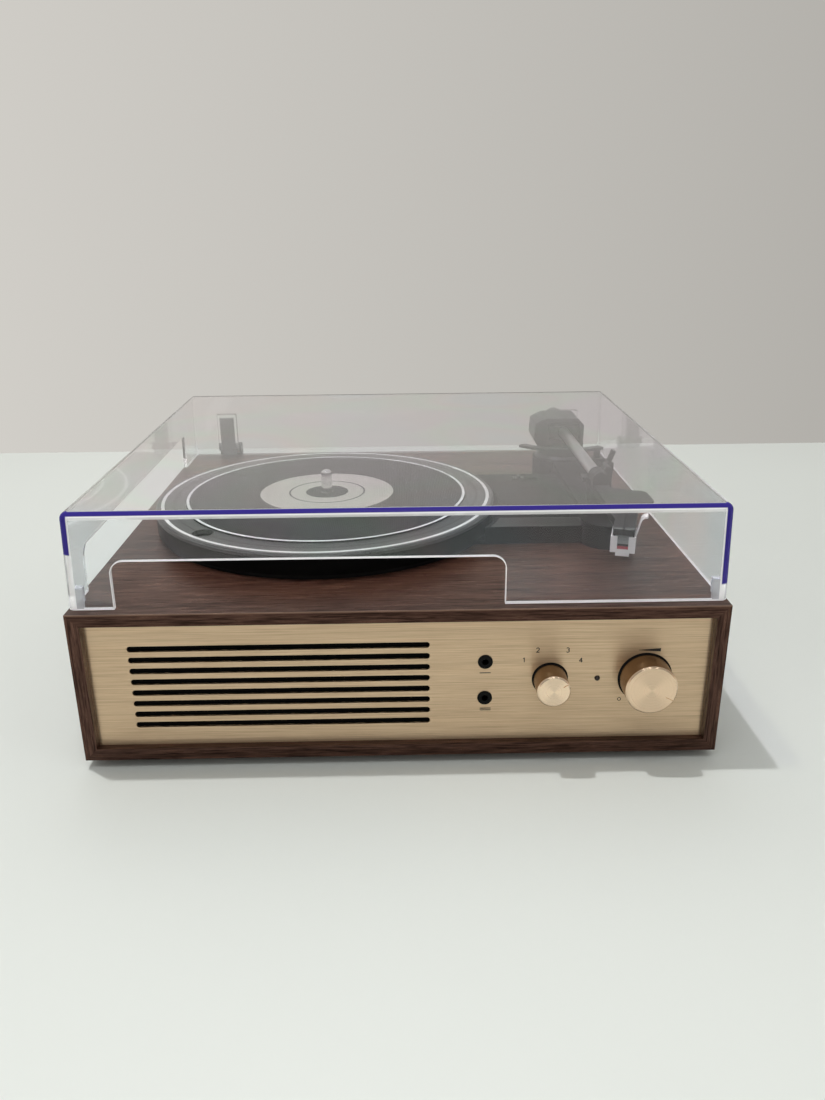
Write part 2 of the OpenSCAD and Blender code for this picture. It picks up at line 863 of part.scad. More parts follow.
module motor() {
  color(silver) at(motor_x, motor_v, motor_top - motor_len) difference() {
    cylinder(r = motor_r, h = motor_len);
    translate([0, 0, motor_len - motor_shaft_inside - pass_gap])
      cylinder(r = motor_shaft_r + running, h = motor_shaft_inside + 1);
  }
}

module motor_grommets() {
  color(black) for (turn = [0, 120, 240])
    at(motor_x + grommet_reach * cos(turn), motor_v + grommet_reach * sin(turn), motor_top)
      cylinder(r = grommet_r, h = grommet_h);
}

module motor_shaft() {
  color(silver) at(motor_x, motor_v, motor_top - motor_shaft_inside)
    cylinder(r = motor_shaft_r, h = top_z + pulley_top - motor_top + motor_shaft_inside);
}

module motor_pulley() {
  color(brass) at(motor_x, motor_v, top_z) rotate_extrude()
    polygon([[motor_shaft_r, pulley_low], [pulley_r + flange_w, pulley_low],
             [pulley_r + flange_w, pulley_low + flange_h], [pulley_r, pulley_low + flange_h],
             [pulley_r, pulley_top - flange_h], [pulley_r + flange_w, pulley_top - flange_h],
             [pulley_r + flange_w, pulley_top], [motor_shaft_r, pulley_top]]);
}

// The belt's plan: an arc round each wheel, joined by the wheels' outer tangents
function belt_path(grow) =
  let (big = rim_r + belt_gap + grow, small = pulley_r + belt_gap + grow)
  let (lean = acos((big - small) / motor_reach))
  concat([for (i = [0:72]) let (a = lean + (360 - 2 * lean) * i / 72) big * [cos(a), sin(a)]],
         [for (i = [0:16]) let (a = -lean + 2 * lean * i / 16)
           [motor_reach + small * cos(a), small * sin(a)]]);

module drive_belt() {
  color(black) at(spindle_x, spindle_v, top_z + belt_low) rotate(motor_angle) linear_extrude(belt_w)
    difference() {
      polygon(belt_path(belt_t));
      polygon(belt_path(0));
    }
}

// Tone arm. Its pieces are placed from the pivot: x to the right, y to the back.

housing_below = 10;
housing_left = 23;
housing_right = 14.5;
housing_floor = 4.5;
swing_shaft_r = 4;
pillar_top = arm_rise - housing_below - pass_gap;
window_half = 11.5;
window_up = 7;
window_down = housing_below - housing_floor;
axle_r = 1.5;
axle_left = 19;

module at_pivot(z) {
  at(pivot_x, pivot_v, top_z + z) children();
}

// A turned pillar with a flared foot
module arm_pillar() {
  foot = 2;
  color(black) at_pivot(0) difference() {
    rotate_extrude()
      polygon([[0, pad_rise], [pillar_r + foot, pad_rise], [pillar_r + foot, pad_rise + 1],
               [pillar_r, pad_rise + 1 + foot], [pillar_r, pillar_top - 0.6], [pillar_r - 0.6, pillar_top],
               [0, pillar_top]]);
    translate([0, 0, pad_rise - 1]) cylinder(r = swing_shaft_r, h = pillar_top - pad_rise + 2);
  }
}

module swing_shaft() {
  color(silver) at_pivot(pad_rise)
    cylinder(r = swing_shaft_r, h = arm_rise - window_down - pass_gap - pad_rise);
}

// The housing's front view: a block with bevelled corners
module housing_outline() {
  low = -housing_below;
  high = housing_h - housing_below;
  polygon([[-housing_left + 3, low], [housing_right - 1, low], [housing_right, low + 1],
           [housing_right, high - 5], [housing_right - 5, high], [-housing_left + 9, high],
           [-housing_left + 1, high - 4], [-housing_left, low + 6]]);
}

// The housing turns on the swing shaft and carries the arm between two cheeks
module bearing_housing() {
  color(black) at_pivot(arm_rise) difference() {
    translate([0, housing_len / 2, 0]) rotate([90, 0, 0]) linear_extrude(housing_len) difference() {
      housing_outline();
      translate([-window_half, -window_down]) square([2 * window_half, window_down + window_up]);
    }
    translate([-axle_left - pass_gap, 0, 0]) rotate([0, 90, 0])
      cylinder(r = axle_r + running, h = axle_left + housing_right + 1);
    translate([0, 0, -housing_below - 1]) cylinder(r = swing_shaft_r + running, h = housing_floor + 2);
  }
}

pivot_half_w = 10.5;
pivot_half_h = 4.5;
pivot_half_d = 12;
stub_r = 4;
weight_gap = 0.5;
dial_r = 8.5;
dial_len = 4.5;
dial_gap = 4.5;
dial_v = housing_len / 2 + dial_gap;
weight_v = dial_v + dial_len + weight_gap;
stub_end = weight_v + weight_len + 2;

// The block between the cheeks, with its axle and the stub for the counterweight
module pivot_block() {
  color(charcoal) at_pivot(arm_rise) {
    translate([-pivot_half_w, -pivot_half_d, -pivot_half_h])
      cube([2 * pivot_half_w, 2 * pivot_half_d, 2 * pivot_half_h]);
    translate([-axle_left, 0, 0]) rotate([0, 90, 0])
      cylinder(r = axle_r, h = axle_left + housing_right - pass_gap);
    translate([0, pivot_half_d, 0]) rotate([-90, 0, 0]) cylinder(r = stub_r, h = stub_end - pivot_half_d);
  }
}

// A drum that turns on the stub, bevelled at both ends
module stub_drum(v, r, len, bevel) {
  at_pivot(arm_rise) translate([0, v, 0]) rotate([-90, 0, 0]) rotate_extrude()
    polygon([[stub_r + running, 0], [r - bevel, 0], [r, bevel], [r, len - bevel], [r - bevel, len],
             [stub_r + running, len]]);
}

module counterweight() {
  color(charcoal) stub_drum(weight_v, weight_r, weight_len, 1.5);
}

module force_dial() {
  color(black) stub_drum(dial_v, dial_r, dial_len, 0.6);
}

tube_wall = 1;
collar_r = 5.2;
collar_back = 9;
collar_front = 6;

module arm_tube() {
  color(silver) at_pivot(arm_rise) translate([0, -pivot_half_d, 0]) rotate([90, 0, 0]) difference() {
    cylinder(r = tube_r, h = tube_len - pivot_half_d);
    translate([0, 0, 2]) cylinder(r = tube_r - tube_wall, h = tube_len - pivot_half_d);
  }
}

// Head shell: its nose is turned inwards and carries the cartridge
nose_w = 11.6;
nose_lead = 7;
nose_shift = 3.5;
shell_top = -2.5;
shell_t = 4.5;
wing_t = 2.2;
wing_reach = 24;
wing_r = 6;
nose_right = [cos(offset_angle), -sin(offset_angle)];
nose_back = [sin(offset_angle), cos(offset_angle)];
nose = [-nose_shift, -stylus_reach] - nose_lead * [0, cos(offset_angle)];
nose_left_corner = nose - nose_w / 2 * nose_right;
nose_right_corner = nose + nose_w / 2 * nose_right;
neck_half = 5;

// Plan outline of the shell's body, from the nose back to the collar
module shell_outline() {
  polygon([nose_left_corner, nose_right_corner, nose_right_corner + 40 * nose_back,
           [neck_half + 3, -tube_len - 20], [neck_half, -tube_len - 8], [neck_half, -tube_len],
           [-neck_half, -tube_len], [-neck_half, -tube_len - 50], nose_left_corner + 14 * nose_back]);
}

// Plan outline of the finger wing on the right, with round outer corners
module wing_outline() {
  back = -tube_len - 19;
  front = back - 26;
  polygon(concat(
    [[0, back + 6], [0, front]],
    [for (a = [-90:10:0]) [wing_reach - wing_r, front + wing_r] + wing_r * [cos(a), sin(a)]],
    [for (a = [0:10:90]) [wing_reach - wing_r, back - wing_r] + wing_r * [cos(a), sin(a)]],
    [[neck_half, back + 6]]));
}

module at_nose(z) {
  at_pivot(arm_rise + z) translate(nose) rotate(-offset_angle) children();
}

shell_low = shell_top - shell_t;
groove_w = 1;
groove_t = 0.7;
nose_bevel = 1.2;

module head_shell() {
  color(black) difference() {
    union() {
      at_pivot(arm_rise + shell_low) linear_extrude(shell_t) shell_outline();
      at_pivot(arm_rise + shell_top - wing_t) linear_extrude(wing_t) wing_outline();
      at_pivot(arm_rise) translate([0, collar_back - tube_len, 0]) rotate([90, 0, 0])
        cylinder(r = collar_r, h = collar_back + collar_front);
    }
    at_pivot(arm_rise) translate([0, collar_back - tube_len + 1, 0]) rotate([90, 0, 0])
      cylinder(r = tube_r, h = collar_back + 1);
    at_nose(shell_top - groove_t) translate([-groove_w / 2, -1, 0]) cube([groove_w, 36, groove_t + 1]);
    at_nose(shell_top) rotate([45, 0, 0]) cube([nose_w + 2, nose_bevel, nose_bevel], center = true);
  }
}

cartridge_w = 9;
cartridge_h = 6.5;
cartridge_len = 20;
cartridge_set = 1;
holder_w = 6;
holder_h = 2.1;
holder_len = 14;
holder_set = 0.3;
tip_h = 1.8;
cartridge_low = shell_low - cartridge_h;
holder_low = cartridge_low - holder_h;

// A moulded body whose front slopes back towards the top
module cartridge() {
  slope = 2;
  color(charcoal) at_nose(0) rotate([90, 0, 90]) translate([0, 0, -cartridge_w / 2])
    linear_extrude(cartridge_w)
      polygon([[cartridge_set, cartridge_low], [cartridge_set + cartridge_len, cartridge_low],
               [cartridge_set + cartridge_len, shell_low], [cartridge_set + slope, shell_low],
               [cartridge_set, cartridge_low + 3]]);
}

// The stylus holder with its cantilever and tip
module stylus() {
  color([0.7, 0.12, 0.16]) {
    at_nose(holder_low) translate([-holder_w / 2, holder_set, 0]) cube([holder_w, holder_len, holder_h]);
    at_nose(holder_low - tip_h) translate([0, nose_lead, 0]) cylinder(r1 = 0.1, r2 = 0.5, h = tip_h);
  }
}

guard_wall = 0.8;
guard_w = 13.4;
guard_front = -1.5;
guard_len = 17;
guard_tongue_w = 7.4;
guard_step = 1.9;
guard_window = 6;
guard_under = 2.8;
guard_low = holder_low - guard_under;
guard_high = shell_low - pass_gap;

// The front view of the guard: two cheeks, a sill and a narrow tongue
module guard_outline() {
  w = guard_w / 2;
  n = guard_window / 2;
  k = guard_tongue_w / 2;
  sill = holder_low + 1;
  polygon([[-w, guard_high], [-w, guard_low + guard_step], [-k, guard_low + guard_step], [-k, guard_low],
           [k, guard_low], [k, guard_low + guard_step], [w, guard_low + guard_step], [w, guard_high],
           [n, guard_high], [n, sill], [-n, sill], [-n, guard_high]]);
}

// A clear cap that slides over the cartridge from the front
module stylus_guard() {
  color(clear) at_nose(0) {
    translate([0, guard_front + guard_wall, 0]) rotate([90, 0, 0])
      linear_extrude(guard_wall) guard_outline();
    translate([-guard_tongue_w / 2, guard_front + guard_wall, guard_low])
      cube([guard_tongue_w, guard_len - 6, guard_wall]);
    for (side = [-1, 1])
      translate([side * (guard_w - guard_wall) / 2 - guard_wall / 2, guard_front + guard_wall,
                 guard_low + guard_step])
        cube([guard_wall, guard_len, guard_high - guard_low - guard_step]);
  }
}

// Cue lift, lever and arm rest

lift_t = 1.8;
lift_under = 0.5;
lift_stem_r = 2.5;
lift_w = 2 * lift_stem_r + 1;
lift_far_angle = 48;
sleeve_r = 5.5;
sleeve_h = 9;
lift_low = arm_rise - tube_r - lift_under - lift_t;
ear_t = 2;
ear_gap = 8.4;
ear_h = 6.5;
ear_reach = 11.5;
lever_x = 8.5;
lever_z = pad_rise + 3.8;
lever_axle_r = 1.2;
lever_hub_r = 2.6;
lever_len = 11;
lever_lean = 20;

// A direction in plan, turned to the right of straight ahead
function ahead(angle) = [sin(angle), -cos(angle)];

module cue_sleeve() {
  color(black) at(cue_x, cue_v, top_z) difference() {
    union() {
      translate([0, 0, pad_rise]) cylinder(r = sleeve_r, h = sleeve_h);
      for (side = [-1, 1])
        translate([0, side * (ear_gap + ear_t) / 2 - ear_t / 2, pad_rise]) cube([ear_reach, ear_t, ear_h]);
    }
    translate([0, 0, pad_rise + 1]) cylinder(r = lift_stem_r + running, h = sleeve_h);
    translate([lever_x, 0, lever_z]) rotate([90, 0, 0])
      cylinder(r = lever_axle_r + running, h = ear_gap + 2 * ear_t + 2, center = true);
  }
}

// A curved bar under the arm tube, on a stem in the sleeve
module lift_platform() {
  reach = 2 * cue_reach;
  color(charcoal) {
    at_pivot(lift_low) linear_extrude(lift_t) intersection() {
      difference() {
        circle(cue_reach + lift_w / 2);
        circle(cue_reach - lift_w / 2);
      }
      polygon([[0, 0], reach * ahead(cue_angle + 4), reach * ahead(0), reach * ahead(-lift_far_angle)]);
    }
    at(cue_x, cue_v, top_z + pad_rise + 1 + pass_gap)
      cylinder(r = lift_stem_r, h = lift_low - pad_rise - 1 - pass_gap);
  }
}

module cue_lever() {
  color(black) at(cue_x + lever_x, cue_v, top_z + lever_z) {
    rotate([90, 0, 0]) cylinder(r = lever_hub_r, h = ear_gap - 2 * 0.2, center = true);
    rotate([90, 0, 0]) cylinder(r = lever_axle_r, h = ear_gap + 2 * ear_t, center = true);
    rotate([0, lever_lean, 0]) translate([-1.1, -3, 0]) cube([2.2, 6, lever_len]);
  }
}

rest_lead = 21;
rest_v = tube_len - rest_lead;
rest_len = 10;
rest_post_r = 4;
rest_right = 12;
rest_left = 7;
hook_w = 4;
hook_up = 3;

// A cradle on a post: a low lip towards the platter and a tall hook on the outside
module arm_rest() {
  seat = -tube_r - pass_gap;
  color(black) {
    at_pivot(pad_rise) translate([1, -rest_v, 0])
      cylinder(r = rest_post_r, h = arm_rise + seat - 3 - pad_rise);
    at_pivot(arm_rise) translate([0, rest_len / 2 - rest_v, 0]) rotate([90, 0, 0]) linear_extrude(rest_len)
      polygon([[-rest_left, seat - 3], [rest_right - 3, seat - 3], [rest_right, seat],
               [rest_right, hook_up - 2], [rest_right - 2, hook_up], [rest_right - hook_w, hook_up],
               [tube_r + 1, seat], [-rest_left, seat]]);
  }
}

// Lid and its hinges

lid_h = arm_rise + lid_over_arm;
hinge_v = cabinet_d + hinge_back;
hinge_z = top_z + knuckle_r + pass_gap;
hinge_pin_r = 1.5;
hinge_w = 18;
leaf_w = 11.4;
blade_t = 3;
blade_h = 33;
pocket_wall = 1.9;
pocket_low = 5.8;
pocket_high = 36;
blade_play = 0.3;
blade_v = cabinet_d - lid_rear - lid_t - lid_draft - blade_play - blade_t;
notch_r = 7;
lug_w = 5;
lug_h = 11;
lug_cut = 2.5;
hinge_x = half_w - hinge_inset;

// The lid's outer or inner block: straight feet below, round corners above
module lid_block(r, low) {
  foot_x = half_w - lid_side - lid_r;
  foot_front = lid_front + lid_r;
  foot_back = cabinet_d - lid_rear - lid_r;
  hull() {
    for (side = [-1, 1]) {
      at(side * foot_x, foot_front, low) cylinder(r = r, h = 0.2, $fn = 32);
      at(side * foot_x, foot_back, low) cylinder(r = r, h = 0.2, $fn = 32);
      at(side * (foot_x - lid_draft), foot_front + lid_draft, top_z + lid_h - lid_r) sphere(r, $fn = 32);
      at(side * (foot_x - lid_draft), foot_back - lid_draft, top_z + lid_h - lid_r) sphere(r, $fn = 32);
    }
  }
}

// The front view of a lug in one of the lid's front corners, with its lower inner corner cut off
module lug_outline(side) {
  outer = half_w - lid_side - lid_t + 1;
  inner = outer - 1 - lug_w;
  low = top_z + 2 * pass_gap;
  polygon([[side * outer, low], [side * (inner + lug_cut), low], [side * inner, low + lug_cut],
           [side * inner, low + lug_h], [side * outer, low + lug_h]]);
}

// A cut-out's outline between two ends, open at the bottom and round at the top corners
module notch_outline(from, to) {
  translate([from, top_z - 1]) square([to - from, notch_h - notch_r + 1]);
  translate([from + notch_r, top_z]) square([to - from - 2 * notch_r, notch_h]);
  for (x = [from + notch_r, to - notch_r])
    translate([x, top_z + notch_h - notch_r]) circle(notch_r);
}

module dust_cover() {
  deep = lid_draft + lid_t + 6;
  color(clear) difference() {
    union() {
      difference() {
        lid_block(lid_r, top_z + pass_gap);
        lid_block(lid_r - lid_t, top_z - 1);
      }
      for (side = [-1, 1])
        block(side * hinge_x - leaf_w / 2 - blade_play - pocket_wall,
              side * hinge_x + leaf_w / 2 + blade_play + pocket_wall, blade_v - blade_play - pocket_wall,
              cabinet_d - lid_rear - lid_draft - 1, top_z + pocket_low, top_z + pocket_high);
      for (side = [-1, 1])
        prism(lid_front + lid_t - 1, lid_front + lid_t + lug_w) lug_outline(side);
    }
    for (side = [-1, 1]) {
      block(side * hinge_x - leaf_w / 2 - blade_play, side * hinge_x + leaf_w / 2 + blade_play,
            blade_v - blade_play, blade_v + blade_t + blade_play, top_z - 1,
            top_z + blade_h + blade_play);
      block(side * hinge_x - leaf_w / 2 - blade_play, side * hinge_x + leaf_w / 2 + blade_play,
            blade_v - blade_play, cabinet_d, top_z - 1, top_z + pocket_low);
    }
    prism(0, lid_front + deep) notch_outline(notch_inset - half_w, spindle_x + notch_reach);
    translate([-half_w, front_y, 0]) rotate([90, 0, 90]) linear_extrude(lid_side + deep)
      notch_outline(side_notch_front, cabinet_d - side_notch_back);
  }
}

// Hinge bases: a pad on the rear panel, a plate on the top board's edge and two knuckles
module hinge_bases() {
  pad_t = 2.5;
  pad_low = top_z - pocket_high + 4;
  ear_w = (hinge_w - leaf_w) / 2 - pass_gap;
  color(charcoal) for (side = [-1, 1])
    difference() {
      union() {
        block(side * hinge_x - hinge_w / 2, side * hinge_x + hinge_w / 2, cabinet_d, cabinet_d + pad_t,
              pad_low, top_z);
        block(side * hinge_x - hinge_w / 2, side * hinge_x + hinge_w / 2, rear_face, cabinet_d,
              pad_low, top_z - board_t);
        for (end = [-1, 1]) {
          bar_across(side * hinge_x + end * (hinge_w - ear_w) / 2, hinge_v, hinge_z, knuckle_r, ear_w);
          block(side * hinge_x + end * (hinge_w - ear_w) / 2 - ear_w / 2,
                side * hinge_x + end * (hinge_w - ear_w) / 2 + ear_w / 2, cabinet_d,
                hinge_v + knuckle_r, top_z - 8, hinge_z);
        }
      }
      bar_across(side * hinge_x, hinge_v, hinge_z, hinge_pin_r, hinge_w + 2);
    }
}

// Hinge leaves: a knuckle on the pin, an arm through the lid's rear wall and a blade in its pocket
module hinge_leaves() {
  color(charcoal) for (side = [-1, 1])
    difference() {
      union() {
        bar_across(side * hinge_x, hinge_v, hinge_z, knuckle_r, leaf_w);
        block(side * hinge_x - leaf_w / 2, side * hinge_x + leaf_w / 2, blade_v, hinge_v,
              top_z + 1.4, top_z + pocket_low - blade_play);
        block(side * hinge_x - leaf_w / 2, side * hinge_x + leaf_w / 2, blade_v, blade_v + blade_t,
              top_z + 1.4, top_z + blade_h);
      }
      bar_across(side * hinge_x, hinge_v, hinge_z, hinge_pin_r + running, leaf_w + 2);
    }
}

module hinge_pins() {
  color(silver) for (side = [-1, 1])
    bar_across(side * hinge_x, hinge_v, hinge_z, hinge_pin_r, hinge_w);
}

cabinet_top();
cabinet_bottom();
cabinet_left();
cabinet_right();
rear_panel();
rear_screws();
front_panel();
speaker_baffle();
grille_cloth();
speaker_frames();
speaker_cones();
speaker_magnets();
amplifier_board();
board_standoffs();
heat_sink();
volume_control();
volume_shaft();
volume_knob();
source_switch();
source_shaft();
source_knob();
aux_jack();
headphone_jack();
pilot_lamp();
terminal_plate();
line_out_sockets();
power_inlet();
feet();
deck_plate();
bridge_inlay();
speed_switch();
platter_bearing();
thrust_ball();
spindle();
platter();
platter_mat();
motor();
motor_grommets();
motor_shaft();
motor_pulley();
drive_belt();
arm_pillar();
swing_shaft();
bearing_housing();
pivot_block();
arm_tube();
head_shell();
cartridge();
stylus();
stylus_guard();
counterweight();
force_dial();
cue_sleeve();
lift_platform();
cue_lever();
arm_rest();
dust_cover();
hinge_bases();
hinge_leaves();
hinge_pins();
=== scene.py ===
# %% [markdown]
# # A record player around its CAD frame
#
# The CAD model already holds every solid of the player at its real size: cabinet, deck, platter,
# tone arm and lid. This lesson dresses it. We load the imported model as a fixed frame, set the
# camera where the photographer stood, and then give one surface after another its finish.
# Everything is in metres. +X is to the right, +Y to the back, and Z is 0 on the table.

import bpy
import numpy as np
from mathutils import Matrix, Vector


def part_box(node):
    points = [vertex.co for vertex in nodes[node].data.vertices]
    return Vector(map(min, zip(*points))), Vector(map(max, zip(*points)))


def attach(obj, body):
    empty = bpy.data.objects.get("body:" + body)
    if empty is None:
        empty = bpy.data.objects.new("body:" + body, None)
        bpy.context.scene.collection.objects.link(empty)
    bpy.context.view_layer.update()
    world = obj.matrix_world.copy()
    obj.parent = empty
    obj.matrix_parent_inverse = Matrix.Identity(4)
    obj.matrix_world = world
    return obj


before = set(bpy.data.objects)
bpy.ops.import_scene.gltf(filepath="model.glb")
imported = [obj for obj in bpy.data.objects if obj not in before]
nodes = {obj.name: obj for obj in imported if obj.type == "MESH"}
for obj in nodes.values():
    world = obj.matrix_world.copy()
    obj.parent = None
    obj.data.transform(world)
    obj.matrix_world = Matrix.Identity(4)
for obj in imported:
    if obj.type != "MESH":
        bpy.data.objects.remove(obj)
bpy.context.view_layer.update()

# %% [markdown]
# ## The camera
#
# The photograph was taken from just in front of the player, a little above it. A camera is a
# place, three turns and a focal length. The lens is wide, so the near front looks larger than the
# rear, and only the right distance gives the same convergence of the lid's side edges. We build the
# rotation from three plain turns instead of aiming at a target, because the slight roll matters.

# %% Camera
def turn(axis, degrees):
    """The 3 x 3 matrix of a turn about one axis."""
    return np.array(Matrix.Rotation(np.radians(degrees), 3, axis))


CAMERA_PLACE = (0.0012, -0.5919, 0.2868)
CAMERA_TURN = turn("Z", -0.79) @ turn("X", -20.46) @ turn("Y", 0.55)
SENSOR, FOCAL_PIXELS, PICTURE_HEIGHT = 36, 898.7, 1100

to_right, to_front, to_top = CAMERA_TURN.T
pose = np.eye(4)
pose[:3, :3] = np.stack([to_right, to_top, -to_front], 1)
pose[:3, 3] = CAMERA_PLACE
camera = bpy.data.objects.new("camera", bpy.data.cameras.new("camera"))
camera.data.sensor_width = SENSOR
camera.data.lens = SENSOR * FOCAL_PIXELS / PICTURE_HEIGHT
camera.data.clip_start = 0.01
camera.matrix_world = Matrix(pose.tolist())
bpy.context.scene.collection.objects.link(camera)
bpy.context.scene.camera = camera
print("lens", round(camera.data.lens, 2), "mm")

# %% [markdown]
# ## Helpers for meshes
#
# Most new pieces are surfaces: a grid of points, worked out as one numpy array, whose neighbours
# form quads. One helper turns such a grid into a mesh. It can close the grid along either
# direction, as a turned knob closes round its axis.

# %% Grid to mesh
def grid_faces(rows, columns, loop_rows, loop_columns):
    """Quads (i, j), (i+1, j), (i+1, j+1), (i, j+1) of a rows x columns grid, closed where asked."""
    i = np.arange(rows if loop_rows else rows - 1)[:, None]
    j = np.arange(columns if loop_columns else columns - 1)[None, :]
    up, over = (i + 1) % rows, (j + 1) % columns
    corners = (i * columns + j, up * columns + j, up * columns + over, i * columns + over)
    return np.stack(np.broadcast_arrays(*corners), -1).reshape(-1, 4)


def add_piece(name, points, faces, body, finish, smooth=True):
    """Puts points and faces into a mesh object at the origin that rides on a CAD body."""
    mesh = bpy.data.meshes.new(name)
    mesh.from_pydata(points.reshape(-1, 3).tolist(), [], faces.tolist())
    mesh.update()
    mesh.polygons.foreach_set("use_smooth", np.full(len(mesh.polygons), smooth))
    piece = bpy.data.objects.new(name, mesh)
    bpy.context.scene.collection.objects.link(piece)
    mesh.materials.append(finish)
    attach(piece, body)
    print(name, len(mesh.polygons), "faces")
    return piece


print("a 3 x 3 grid has", len(grid_faces(3, 3, False, False)), "faces")

# %% [markdown]
# ## Helpers for materials
#
# A finish is a Principled shader whose colour, roughness and bump come from a few textures. The
# textures read Object coordinates, so a pattern stays on its piece at its real scale: a Mapping
# that stretches space along one axis turns plain noise into wood grain or into brushing lines.

# %% Node helpers
def add_node(tree, kind, inputs=None, **settings):
    """One node with its settings; an input is a plain value or another node's output."""
    made = tree.nodes.new(kind)
    for key, value in settings.items():
        setattr(made, key, value)
    for key, value in (inputs or {}).items():
        if isinstance(value, bpy.types.NodeSocket):
            tree.links.new(value, made.inputs[key])
        else:
            made.inputs[key].default_value = value
    return made


def new_finish(name, roughness=0.5, metallic=0.0, colour=(0.5, 0.5, 0.5), **sockets):
    """A material with one Principled shader; returns the material, its tree and the shader."""
    finish = bpy.data.materials.new(name)
    finish.use_nodes = True
    tree = finish.node_tree
    shader = tree.nodes["Principled BSDF"]
    shader.inputs["Base Color"].default_value = (*colour, 1)
    shader.inputs["Roughness"].default_value = roughness
    shader.inputs["Metallic"].default_value = metallic
    for key, value in sockets.items():
        shader.inputs[key.replace("_", " ")].default_value = value
    return finish, tree, shader


def feed(tree, shader, socket, value):
    """Links a pattern to a socket of the shader."""
    tree.links.new(value, shader.inputs[socket])


def bump(tree, shader, height, strength, depth):
    """Lets a height pattern tilt the shading normal."""
    made = add_node(tree, "ShaderNodeBump", {"Height": height, "Strength": strength, "Distance": depth})
    tree.links.new(made.outputs[0], shader.inputs["Normal"])


print("helpers for finishes:", add_node.__name__, new_finish.__name__, feed.__name__, bump.__name__)

# %% [markdown]
# A pattern starts from a place in space and ends in a number or a colour: noise turns a place into a
# number, a ramp turns a number into a colour, and a blend puts one colour over another.

# %% Patterns
def stretched(tree, scale, place=(0, 0, 0), angle=(0, 0, 0)):
    """Object coordinates about a place, turned, then stretched by a scale along each axis."""
    spot = add_node(tree, "ShaderNodeTexCoord").outputs["Object"]
    moved = add_node(tree, "ShaderNodeMapping", {"Vector": spot, "Location": place},
                     vector_type="TEXTURE").outputs[0]
    return add_node(tree, "ShaderNodeMapping",
                    {"Vector": moved, "Scale": scale, "Rotation": angle}).outputs[0]


def coordinates(tree, place=(0, 0, 0), angle=(0, 0, 0)):
    """The sockets X, Y and Z of the Object coordinates, in metres, about a place and turned."""
    spot = stretched(tree, (1, 1, 1), place, angle)
    return add_node(tree, "ShaderNodeSeparateXYZ", {"Vector": spot}).outputs


def noise(tree, vector, scale=1.0, detail=4.0, rough=0.55, bend=0.0):
    """Noise from 0 to 1 in stretched space."""
    return add_node(tree, "ShaderNodeTexNoise", {"Vector": vector, "Scale": scale, "Detail": detail,
                                                 "Roughness": rough, "Distortion": bend}).outputs["Fac"]


def plain_noise(tree, scale, detail):
    """Noise that is alike along all axes; the scale is in waves per metre."""
    return noise(tree, stretched(tree, (1, 1, 1)), scale, detail)


def ramp(tree, value, *stops):
    """Colours (or greys) along a value: each stop is (place, colour)."""
    made = add_node(tree, "ShaderNodeValToRGB", {"Fac": value})
    colours = [(at, c if np.ndim(c) else (c, c, c)) for at, c in stops]
    while len(made.color_ramp.elements) < len(colours):
        made.color_ramp.elements.new(0.5)
    for element, (at, c) in zip(made.color_ramp.elements, colours):
        element.position = at
        element.color = (*c, 1)
    return made.outputs["Color"]


def blend(tree, share, a, b, mode="MIX"):
    """Mixes two colours by a share."""
    made = add_node(tree, "ShaderNodeMix", data_type="RGBA", blend_type=mode)
    for index, value in ((0, share), (6, a), (7, b)):
        if isinstance(value, bpy.types.NodeSocket):
            tree.links.new(value, made.inputs[index])
        else:
            made.inputs[index].default_value = value if index == 0 else (*value, 1)
    return made.outputs[2]


print("helpers for patterns:", noise.__name__, ramp.__name__, blend.__name__)

# %% [markdown]
# A mask is a number that is 1 on some part of a surface and 0 elsewhere. Distances make masks, and
# masks make new masks: a product is where all of them hold, a maximum where any of them does.

# %% Masks
def maths(tree, operation, a, b=0.0, c=0.0):
    """One step of arithmetic."""
    return add_node(tree, "ShaderNodeMath", {0: a, 1: b, 2: c}, operation=operation).outputs[0]


def apart(tree, value, place):
    """How far a value is from a place: |value - place|."""
    return maths(tree, "ABSOLUTE", maths(tree, "SUBTRACT", value, place))


def within(tree, value, limit, soft=0.00015):
    """1 where a value is below a limit and 0 above it, with a slope between limit +- soft."""
    ends = {"Value": value, "From Min": limit + soft, "From Max": limit - soft}
    return add_node(tree, "ShaderNodeMapRange", ends).outputs[0]


def both(tree, mask, *others):
    """1 where all masks are 1: their product."""
    for other in others:
        mask = maths(tree, "MULTIPLY", mask, other)
    return mask


def either(tree, mask, *others):
    """1 where any mask is 1: the largest of them."""
    for other in others:
        mask = maths(tree, "MAXIMUM", mask, other)
    return mask


print("helpers for masks:", apart.__name__, within.__name__, both.__name__, either.__name__)

# %% [markdown]
# ## Dark wood-grain wrap
#
# The cabinet is board wrapped in a dark walnut foil. Its grain has three layers of noise, all
# stretched along the grain: broad bands of lighter and darker brown, short flecks about a millimetre
# wide, and thin dark pores on top. The grain runs across on the top and bottom boards and upwards on
# the side boards, as foil that is folded round the corner does. The foil has a dull gloss, less in its
# dark grain, so the top mirrors the dark side of the platter before it and the pale room elsewhere.
# Along the front top edge, where the foil is folded sharply, a thin paler line is painted in: a painted
# highlight where that edge catches the light.

# %% Walnut wrap
PAINTED_EDGE_BACK, PAINTED_EDGE_BASE = -0.1623, 0.0923


